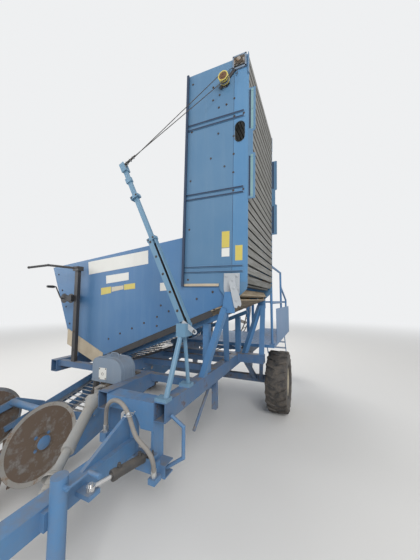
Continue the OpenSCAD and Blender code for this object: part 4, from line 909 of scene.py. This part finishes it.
gear = {"low": (-0.06, -1.06, 0.73), "high": (0.2, -0.83, 0.93), "shaft": (0.09, 0.85),
        "side": ((0.199, -1.0, 0.76), (0.225, -0.88, 0.90)), "ribs": (-0.02, 0.04, 0.10, 0.16),
        "ribHalf": 0.004, "ribY": (-0.832, -0.826), "ribZ": (0.75, 0.91), "noseY": -1.045,
        "nose": [(0.075, 0), (0.075, 0.022), (0.07, 0.026), (0.052, 0.030), (0.045, 0.042), (0.045, 0.085)],
        "plug": [(0.014, 0), (0.014, 0.006), (0.010, 0.008), (0.010, 0.012)], "noseBolts": 0.062,
        "corners": [(x, z) for x in (-0.045, 0.185) for z in (0.745, 0.915)]}
sx, sz = gear["shaft"]
bm = bmesh.new()
addBox(bm, gear["low"], gear["high"])
addBox(bm, *gear["side"])
half, (y0, y1), (low, high) = gear["ribHalf"], gear["ribY"], gear["ribZ"]
for x in gear["ribs"]:
    addBox(bm, (x - half, y0, low), (x + half, y1, high))
addRound(bm, (sx, gear["noseY"], sz), toFront, gear["nose"], 40)
piece("gearCase", bm, castGrey, "frame", 0.006)

# fork of the shaft's joint, on a ringed stub: places along Y, heights from the shaft's
fork = {"pinY": -1.225, "half": 0.024, "ears": (-0.05, 0.038), "thick": 0.012, "earRoot": -1.191,
        "block": (0.03, 0.05), "blockY": (-1.195, -1.165), "stubY": -1.12,
        "stub": [(0.0175, 0), (0.0175, 0.06)],
        "ringY": -1.128, "ringPitch": 0.006, "ring": [(0.0182, 0), (0.0182, 0.003)],
        "pinFoot": -0.045, "pin": [(0.0098, 0), (0.0098, 0.09)]}
bm = bmesh.new()
addRound(bm, (sx, fork["stubY"], sz), toFront, fork["stub"], 28)
for k in range(6):
    addRound(bm, (sx, fork["ringY"] - fork["ringPitch"] * k, sz), toFront, fork["ring"], 28)
(wide, tall), (y0, y1) = fork["block"], fork["blockY"]
addBox(bm, (sx - wide, y0, sz - tall), (sx + wide, y1, sz + tall))
half, thick = fork["half"], fork["thick"]
for low in fork["ears"]:
    addBox(bm, (sx - half, fork["pinY"], sz + low), (sx + half, fork["earRoot"], sz + low + thick))
    addRound(bm, (sx, fork["pinY"], sz + low), (0, 0, 1), [(half, 0), (half, thick)], 32)
addRound(bm, (sx, fork["pinY"], sz + fork["pinFoot"]), (0, 0, 1), fork["pin"], 24)
piece("shaftFork", bm, dullSteel, "frame", 0.002)
bm = bmesh.new()
for k in range(6):
    across, up = gear["noseBolts"] * math.cos(math.pi * k / 3), gear["noseBolts"] * math.sin(math.pi * k / 3)
    addBolt(bm, (sx + across, -1.069, sz + up), toFront, 0.011)
for x, z in gear["corners"]:
    addBolt(bm, (x, gear["low"][1], z), toFront, 0.013)
    addBolt(bm, (x, gear["high"][1], z), toRear, 0.013)
addRound(bm, (-0.03, gear["low"][1], 0.79), toFront, gear["plug"], 6)
piece("gearCaseBolts", bm, boltSteel, "frame", 0.0006)

# Hood, open below: shell, rims, straps, a handle and its blank plate

hood = {"x": (-0.095, 0.235), "y": (-1.12, -0.95), "z": (0.90, 1.10), "corner": (0.055, 0.105),
        "sheet": 0.003, "rims": (((-0.096, -1.124, 0.90), (0.236, -1.12, 0.918)),
                                 ((-0.096, -0.95, 0.932), (0.236, -0.946, 0.95))),
        "straps": (-1.085, -0.985), "bolts": (-0.07, 0.07, 0.21), "middle": 0.968,
        "handle": [(0.03, 1.099), (0.03, 1.115), (0.045, 1.13), (0.105, 1.13), (0.12, 1.115), (0.12, 1.099)],
        "plate": [(-0.014, 0.920), (0.072, 0.923), (0.072, 1.020), (-0.014, 1.016)],
        "rivets": [(-0.006, 0.928), (0.064, 0.931), (0.064, 1.012), (-0.006, 1.008)],
        "mark": [(0.012, 0), (0.012, 0.0015), (0.0095, 0.0015), (0.0095, 0)]}


def hoodOutline(inset):
    (x0, x1), (foot, top), (left, right) = hood["x"], hood["z"], hood["corner"]
    points = [Vector((x1 - inset, 0, foot))]
    for radius, cx, start in ((right, x1 - right, 0), (left, x0 + left, 90)):
        turn = axes((cx, 0, top - radius), Vector((1, 0, 0)), Vector((0, 0, 1)))
        points += [around(turn, radius - inset, math.radians(start + k * 11.25)) for k in range(9)]
    return points + [Vector((x0 + inset, 0, foot))]


y0, y1 = hood["y"]
outer, inner = hoodOutline(0), hoodOutline(hood["sheet"])
bm = bmesh.new()
rings = [[bm.verts.new(p + Vector((0, y, 0))) for p in outline] for outline, y in
         ((inner, y1 - hood["sheet"]), (inner, y0 + hood["sheet"]), (outer, y0), (outer, y1))]
count = len(outer)
for a, b in ((rings[0], rings[1]), (rings[2], rings[3])):
    for i in range(count - 1):
        bm.faces.new((a[i], a[i + 1], b[i + 1], b[i]))
for ring in rings:
    bm.faces.new(ring)
for i in (0, count - 1):
    bm.faces.new([ring[i] for ring in rings])
for a, b in ((rings[1], rings[2]), (rings[3], rings[0])):
    bm.faces.new((a[0], a[-1], b[-1], b[0]))
cover = piece("gearHood", bm, coverPaint, "frame", 0.0015, 50)
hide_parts("gearbox")
bm = bmesh.new()
for low, high in hood["rims"]:
    addBox(bm, low, high)
for x in hood["bolts"]:
    addBolt(bm, (x, y0 - 0.004, 0.909), toFront, 0.009)
for y in hood["straps"]:
    addTube(bm, [p + Vector((0, y, 0)) for p in hoodOutline(-0.0012)], 0.003, 6)
addTube(bm, smoothPath([(x, -1.035, z) for x, z in hood["handle"]]), 0.005, 8)
piece("hoodTrim", bm, coverPaint, "frame", 0.0008)
addPlates([("hoodPlate", hood["plate"], whitePlate)], y0 - 0.0002, "frame")
bm = bmesh.new()
addRing(bm, facing((0.029, y0 - 0.002, hood["middle"]), toFront), hood["mark"], 24)
for x, z in hood["rivets"]:
    addBolt(bm, (x, y0 - 0.002, z), toFront, 0.006)
piece("hoodPlateBolts", bm, boltSteel, "frame")

# Shaft guard: end cones with their folds. Each ring: place along the shaft, closed profile

guard = {"joint": (0.09, -1.225, 0.85), "toward": (0.393, -1.83, 0.56),
         "rear": [(0.075, [(0.0372, 0.09), (0.040, 0.06), (0.046, 0.035), (0.0525, 0.012), (0.058, 0.0),
                           (0.061, -0.004), (0.061, 0.004), (0.0545, 0.015), (0.048, 0.038), (0.042, 0.063),
                           (0.0392, 0.092)]),
                  (0.462, [(0.0368, -0.03), (0.0405, -0.03), (0.0405, 0.006), (0.0345, 0.0085),
                           (0.028, 0.0085), (0.028, 0.006), (0.0368, 0.003)])],
         "front": [(0.6, [(0.0272, -0.03), (0.0292, -0.03), (0.034, 0.0), (0.042, 0.02), (0.049, 0.036),
                          (0.052, 0.040), (0.052, 0.032), (0.0465, 0.031), (0.0395, 0.016),
                          (0.0315, -0.004)])]}
for reach in (0.02, 0.035, 0.05):
    radius = 0.0555 - 0.42 * (reach - 0.012)
    guard["rear"].append((0.075 + reach, [(radius - 0.003, -0.003), (radius + 0.002, -0.0025),
                                          (radius + 0.0015, 0.002), (radius - 0.004, 0.003)]))
for reach in (0.004, 0.016, 0.028):
    radius = 0.036 + 0.45 * reach
    guard["front"].append((0.6 + reach, [(radius - 0.003, -0.002), (radius + 0.002, -0.002),
                                         (radius + 0.002, 0.002), (radius - 0.003, 0.002)]))
joint = Vector(guard["joint"])
run = (Vector(guard["toward"]) - joint).normalized()
for name, end, node in (("guardConeRear", "rear", "pto_tube"), ("guardConeFront", "front", "pto_yoke")):
    bm = bmesh.new()
    for reach, profile in guard[end]:
        addRing(bm, facing(joint + reach * run, run), profile, 36)
    piece(name, bm, guardPlastic, node)

# Cylinders: gland nut, wiper, ports with their caps. Ends, place of the gland, radii, way up

cylinders = {"steer": ((0.725, -1.367, 0.6213), (0.620, -1.720, 0.6213), 0.255, 0.028, 0.012, (0, 0, 1)),
             "lift": ((-0.270, -0.900, 0.970), (-0.270, -0.935, 0.575), 0.290, 0.028, 0.014, (0, -1, 0))}
for name, (start, end, reach, radius, rod, up) in cylinders.items():
    start, end, up = Vector(start), Vector(end), Vector(up)
    along = (end - start).normalized()
    up = (up - along * up.dot(along)).normalized()
    bm = bmesh.new()
    addRing(bm, facing(start + reach * along, along), [
        (radius - 0.003, -0.026), (radius + 0.0025, -0.026), (radius + 0.0025, -0.004), (radius, -0.001),
        (rod + 0.004, 0.0), (rod + 0.003, 0.004), (rod + 0.0012, 0.004), (rod + 0.0012, -0.002)], 32)
    addRing(bm, facing(start + (reach - 0.2) * along, along), [
        (radius - 0.004, -0.006), (radius - 0.001, -0.0075), (radius + 0.001, -0.004),
        (radius + 0.001, 0.006), (radius - 0.003, 0.006)], 32)
    for port in (0.075, reach - 0.045):
        place = start + port * along + (radius - 0.003) * up
        addRound(bm, place, up, [(0.012, 0), (0.012, 0.012), (0.0105, 0.0135)], 20)
        addRound(bm, place + 0.013 * up, up, [(0.0105, 0), (0.0105, 0.009), (0.0085, 0.011)], 6)
    piece(name + "Fittings", bm, blackPaint, name + "_barrel")
print("drive shaft and cylinders dressed")

# Discs with caps and bright ground edges, bands on the roller, bolts on the share

digging = {"row": -0.61, "coulterX": 0.372, "coulter": (-1.44, 0.52), "roller": (-1.82, 0.38),
           "capBolts": 0.066,
           "cap": [(0.048, -0.003), (0.048, 0.004), (0.043, 0.007), (0.03, 0.010), (0.012, 0.011)],
           "edge": [(0.2500, 0.0055), (0.2790, 0.0156), (0.2798, 0.0170), (0.2790, 0.0184), (0.2500, 0.0145)],
           "bands": (0.289, 0.2302),
           "band": [(0.176, -0.008), (0.1812, -0.006), (0.1812, 0.0005), (0.176, 0.0005)],
           "shareX": (-0.25, -0.16, 0.16, 0.25), "share": ((-1.236, 0.296), (-1.30, 0.279)),
           "shareUp": (0, -0.309, 0.951)}
row, boltRing = digging["row"], digging["capBolts"]
for name, side in (("left", 1), ("right", -1)):
    hub = Vector((row + side * digging["coulterX"], *digging["coulter"]))
    out = Vector((side, 0, 0))
    bm = bmesh.new()
    addRound(bm, hub + 0.033 * out, out, digging["cap"], 32)
    for i in range(4):
        angle = math.pi / 4 + i * math.pi / 2
        place = hub + Vector((side * 0.0085, boltRing * math.cos(angle), boltRing * math.sin(angle)))
        addBolt(bm, place, out, 0.014)
    piece("coulterCap" + name.title(), bm, bluePaint, "coulter_" + name)
    bm = bmesh.new()
    addRing(bm, facing(hub, out), digging["edge"], 96)
    piece("coulterEdge" + name.title(), bm, wornSteel, "coulter_" + name)
bm = bmesh.new()
for reach in digging["bands"]:
    for end in (-1, 1):
        addRing(bm, facing((row + end * reach, *digging["roller"]), (end, 0, 0)), digging["band"], 72)
piece("rollerBands", bm, wornSteel, "ridge_roller")
bm = bmesh.new()
for x in digging["shareX"]:
    for place in digging["share"]:
        addBolt(bm, (row + x, *place), digging["shareUp"], 0.018)
piece("shareBolts", bm, wornSteel, "channel")

# Channel: guide rollers' caps along the rails, each with its bolt
channel = {"side": 0.315, "start": (-1.18, 0.33), "end": (1.83, 1.06), "first": 0.3, "pitch": 0.31,
           "up": 0.095, "cap": [(0.022, 0), (0.022, 0.004), (0.018, 0.006)]}
(y0, z0), (y1, z1) = channel["start"], channel["end"]
run = Vector((0, y1 - y0, z1 - z0)).normalized()
bm = bmesh.new()
for side in (-1, 1):
    face = Vector((row + side * channel["side"], y0, z0)) + Vector((0, -run.z, run.y)) * channel["up"]
    for k in range(9):
        place = face + run * (channel["first"] + k * channel["pitch"])
        addRound(bm, place, (side, 0, 0), channel["cap"], 20)
        addBolt(bm, place + Vector((side * 0.005, 0, 0)), (side, 0, 0), 0.014)
piece("channelBolts", bm, wornSteel, "channel")
print("digging gear dressed")

# Haulm rollers: spiral ribs; ring: bolts round both rims

haulm = {"half": 0.295, "rollers": ((1.71, 1.33), (1.835, 1.285)), "turns": 1.5, "radius": 0.046,
         "rib": 0.0055}
bm = bmesh.new()
for hand, (y, z) in zip((-1, 1), haulm["rollers"]):
    for start in range(4):
        path = []
        for k in range(49):
            angle = start * math.pi / 2 + hand * fullTurn * haulm["turns"] * k / 48
            path.append(Vector((row + (k / 24 - 1) * haulm["half"], y + haulm["radius"] * math.cos(angle),
                                z + haulm["radius"] * math.sin(angle))))
        addTube(bm, path, haulm["rib"], 6)
piece("haulmRibs", bm, beltRubber, "frame")
ring = {"x": -0.4, "z": 1.43, "rims": (1.958, 2.238), "bolts": 54, "radius": 0.868}
bm = bmesh.new()
for y in ring["rims"]:
    for i in range(ring["bolts"]):
        angle = fullTurn * i / ring["bolts"] + 0.012
        out = Vector((math.cos(angle), 0, math.sin(angle)))
        addBolt(bm, Vector((ring["x"], y, ring["z"])) + out * ring["radius"], -out, 0.012)
piece("ringBolts", bm, boltSteel, "ring_elevator")

# Floor of the platform: raised pattern, laid crosswise

deck = {"top": 1.0, "areas": ((-0.1, 0.66, 1.14, 1.56), (0.64, 1.64, 1.14, 2.52)), "step": 0.052, "lean": 0.6,
        "foot": ((-0.017, 0, 0), (0, -0.004, 0), (0.017, 0, 0), (0, 0.004, 0)),
        "crest": ((-0.011, 0, 0.0022), (0, -0.0022, 0.0022), (0.011, 0, 0.0022), (0, 0.0022, 0.0022))}
step = deck["step"]
bm = bmesh.new()
for x0, y0, x1, y1 in deck["areas"]:
    for i in range(int((x1 - x0) / step)):
        for j in range(int((y1 - y0) / step)):
            turn = Matrix.Translation((x0 + (i + 0.5) * step, y0 + (j + 0.5) * step, deck["top"]))
            turn = turn @ Matrix.Rotation(deck["lean"] if (i + j) % 2 else -deck["lean"], 4, "Z")
            low = [bm.verts.new(turn @ Vector(p)) for p in deck["foot"]]
            high = [bm.verts.new(turn @ Vector(p)) for p in deck["crest"]]
            bm.faces.new(high)
            for k in range(4):
                bm.faces.new((low[k], low[(k + 1) % 4], high[(k + 1) % 4], high[k]))
piece("deckPattern", bm, deckPaint, "frame")

# Rungs of the ladder get gripping teeth, the railing its foot plates
ladder = {"top": (2.596, 0.988), "pitch": (0.09, -0.14), "x": 0.715, "step": 0.029,
          "rows": (-0.045, -0.015, 0.015, 0.045),
          "tooth": [(0.007, 0), (0.0065, 0.002), (0.0045, 0.0028), (0.004, 0.0005)]}
bm = bmesh.new()
for i in range(1, 5):
    y, z = ladder["top"][0] + i * ladder["pitch"][0], ladder["top"][1] + i * ladder["pitch"][1]
    for k in range(13):
        for dy in ladder["rows"]:
            place = (ladder["x"] + k * ladder["step"], y + dy, z - 0.0005)
            addRound(bm, place, (0, 0, 1), ladder["tooth"], 10)
piece("rungTeeth", bm, wornSteel, "ladder")
rail = {"feet": ((1.16, 0.72), (1.16, 1.71), (1.16, 2.44), (0.66, 2.44)), "half": 0.036, "z": (0.9995, 1.006)}
bm = bmesh.new()
half, (low, high) = rail["half"], rail["z"]
for x, y in rail["feet"]:
    addBox(bm, (x - half, y - half, low), (x + half, y + half, high))
    for dx in (-0.025, 0.025):
        for dy in (-0.025, 0.025):
            addBolt(bm, (x + dx, y + dy, high), (0, 0, 1), 0.008)
piece("railFeet", bm, bluePaint, "frame", 0.001)
print("platform dressed")

# Weld beads where the frame's tubes meet, at the feet of the mast and the uprights and at the portal

beams, single, foot = (-0.952, -0.235, -0.145, 0.725), (-0.145, 0.725), 0.931
welds = {"radius": 0.0045, "step": 0.006, "mast": (-1.3, -0.99), "mastX": (0.73, 0.815),
         "uprights": ((-0.19, 0.77), (-0.584, 0.408)), "uprightHalf": 0.03,
         "portalX": (0.315, 0.725), "portalY": -1.331, "portalZ": (0.832, 0.918),
         # cross tubes: place along the machine, inner faces of the beams, half width, low and high edge
         "tubes": [(-0.8, beams, 0.03, 0.865, 0.925), (0.06, single, 0.03, 0.865, 0.925),
                   (-0.33, single, 0.03, 0.865, 0.925), (1.84, beams, 0.03, 0.865, 0.925),
                   (0.33, (-0.145, 0.725, 0.815), 0.05, 0.83, 0.93)]}


def addWeld(bm, start, end):
    start, end = Vector(start), Vector(end)
    count = max(3, int((end - start).length / welds["step"]))
    along = (end - start).normalized()
    side = along.orthogonal().normalized()
    turn = Matrix((side, along.cross(side), along)).transposed().to_4x4()
    rings = []
    for k in range(count + 1):
        radius = welds["radius"] * (1.0 if k % 2 else 0.72) * random.uniform(0.85, 1.15)
        place = Matrix.Translation(start.lerp(end, k / count)) @ turn
        rings.append([bm.verts.new(around(place, radius, math.pi * n / 3)) for n in range(6)])
    skin(bm, rings)


bm = bmesh.new()
for y, faces, half, low, high in welds["tubes"]:
    for x in faces:
        for dy in (-half, half):
            addWeld(bm, (x, y + dy, low), (x, y + dy, high))
        addWeld(bm, (x, y - half, low), (x, y + half, low))
near, far = welds["mastX"]
for y in welds["mast"]:
    for dy in (-0.035, 0.035):
        addWeld(bm, (near, y + dy, foot), (far, y + dy, foot))
half = welds["uprightHalf"]
for x in welds["uprights"][0]:
    for y in welds["uprights"][1]:
        for dy in (-half, half):
            addWeld(bm, (x - half, y + dy, foot), (x + half, y + dy, foot))
# portal plates against the beams
low, high = welds["portalZ"]
for x in welds["portalX"]:
    addWeld(bm, (x, welds["portalY"], low), (x, welds["portalY"], high))
piece("weldBeads", bm, bluePaint, "frame", angle=60)

# Hand winch beside the post, with its crank, and the clamp at the post's head

winch = {"axis": (-0.905, -0.80, 1.62), "drum": 0.032, "flange": 0.055, "half": 0.042, "rope": 0.035,
         "cheeks": (-0.054, 0.050), "tabs": (-0.0225, 0.0175),
         "clamp": ((-0.80, -0.84, 1.955), (-0.70, -0.8355, 1.975)),
         "plate": ((-0.781, -0.856, 1.585), (-0.774, -0.744, 1.655)),
         "crank": [(0, -0.05, 0), (0, -0.078, 0), (-0.02, -0.084, 0.03), (-0.075, -0.086, 0.115),
                   (-0.085, -0.09, 0.13), (-0.085, -0.11, 0.13), (-0.085, -0.185, 0.13)],
         "grip": [(0.013, 0), (0.0155, 0.02), (0.0145, 0.06), (0.012, 0.082)],
         "bolts": ((-0.785, -0.8405, 1.965), (-0.715, -0.8405, 1.965), (-0.75, -0.82, 1.05),
                   (-0.75, -0.82, 1.25))}
axis, half = Vector(winch["axis"]), winch["half"]
bm = bmesh.new()
addRound(bm, axis - half * crosswise, toRear, [(winch["drum"], 0), (winch["drum"], 2 * half)], 28)
for y in (-half, half):
    addRound(bm, axis + (y - 0.002) * crosswise, toRear, [(winch["flange"], 0), (winch["flange"], 0.004)], 36)
for y in winch["cheeks"]:
    addBox(bm, axis + Vector((-0.03, y, -0.03)), (-0.7745, axis.y + y + 0.005, axis.z + 0.03))
for y in winch["tabs"]:
    addBox(bm, (-0.80, -0.8005 + y, 1.585), (-0.774, -0.7955 + y, 1.655))
addBox(bm, *winch["plate"])
addTube(bm, smoothPath([axis + Vector(p) for p in winch["crank"]]), 0.007, 10)
addRound(bm, axis + Vector((-0.085, -0.105, 0.13)), toFront, winch["grip"], 16)
piece("handWinch", bm, blackPaint, "frame", 0.0008)
coils = []
for k in range(68):
    across, up = winch["rope"] * math.cos(k * 0.3), winch["rope"] * math.sin(k * 0.3)
    coils.append(axis + Vector((across, -0.037 + 0.0011 * k, up)))
bm = bmesh.new()
addTube(bm, coils, 0.0028, 6)
piece("winchRope", bm, ropeSteel, "frame", angle=60)
bm = bmesh.new()
addBox(bm, *winch["clamp"])
for place in winch["bolts"]:
    addBolt(bm, place, toFront, 0.013)
piece("postBolts", bm, boltSteel, "frame", 0.0008)
print("welds and winch made")

# Stage and light

# lamps: place, aim, size, watts
stage = {"floor": (0.78, 0.775, 0.76, 1), "sky": (0.86, 0.87, 0.88, 1), "world": 0.5, "half": 60,
         "fade": (5.5, 19.0),
         "lamps": {"key": ((5.5, -7.5, 6.5), (0, 0, 1.5), 4.0, 560),
                   "fill": ((-7, -5, 4.5), (0, 0, 1.2), 5.0, 200),
                   "rim": ((-4, 7, 7), (0, 0, 1.5), 5.0, 380)}}


def seenRay(tree):
    # 1 for camera and glossy rays, which are to see the sky's colour
    rays = put(tree, "LightPath", {}).outputs
    return sums(tree, "MAXIMUM", rays["Is Camera Ray"], rays["Is Glossy Ray"])


def skyMix(tree, factor, plain, sky, end):
    mixed = put(tree, "MixShader", {0: factor, 1: plain.outputs[0], 2: sky.outputs[0]})
    tree.links.new(mixed.outputs[0], tree.nodes[end].inputs[0])


bm = bmesh.new()
bmesh.ops.create_grid(bm, x_segments=1, y_segments=1, size=stage["half"])
floorMesh = bpy.data.meshes.new("studioFloor")
bm.to_mesh(floorMesh)
bm.free()
floorMaterial = bpy.data.materials.new("floorFinish")
floorMaterial.use_nodes = True
tree = floorMaterial.node_tree
plain = tree.nodes["Principled BSDF"]
plain.inputs["Base Color"].default_value = stage["floor"]
plain.inputs["Roughness"].default_value = 0.9
reach = put(tree, "VectorMath", {0: coordinates(tree)}, operation="LENGTH").outputs["Value"]
far = put(tree, "MapRange", {"Value": reach, "From Min": stage["fade"][0], "From Max": stage["fade"][1]},
          interpolation_type="SMOOTHSTEP").outputs[0]
glow = put(tree, "Emission", {"Color": stage["sky"], "Strength": 1.0})
skyMix(tree, times(tree, far, seenRay(tree)), plain, glow, "Material Output")
floorMesh.materials.append(floorMaterial)
floor = bpy.data.objects.new("studioFloor", floorMesh)
bpy.context.scene.collection.objects.link(floor)

world = bpy.data.worlds.new("studio")
world.use_nodes = True
bpy.context.scene.world = world
tree = world.node_tree
back = tree.nodes["Background"]
back.inputs["Color"].default_value = (1, 1, 1, 1)
back.inputs["Strength"].default_value = stage["world"]
seen = put(tree, "Background", {"Color": stage["sky"], "Strength": 1.0})
skyMix(tree, seenRay(tree), back, seen, "World Output")

for name, (place, aim, size, watts) in stage["lamps"].items():
    light = bpy.data.lights.new(name, "AREA")
    light.energy = watts
    light.size = size
    lamp = bpy.data.objects.new(name, light)
    lamp.location = place
    lamp.rotation_euler = (Vector(aim) - Vector(place)).to_track_quat("-Z", "Y").to_euler()
    bpy.context.scene.collection.objects.link(lamp)
print("stage and light made")
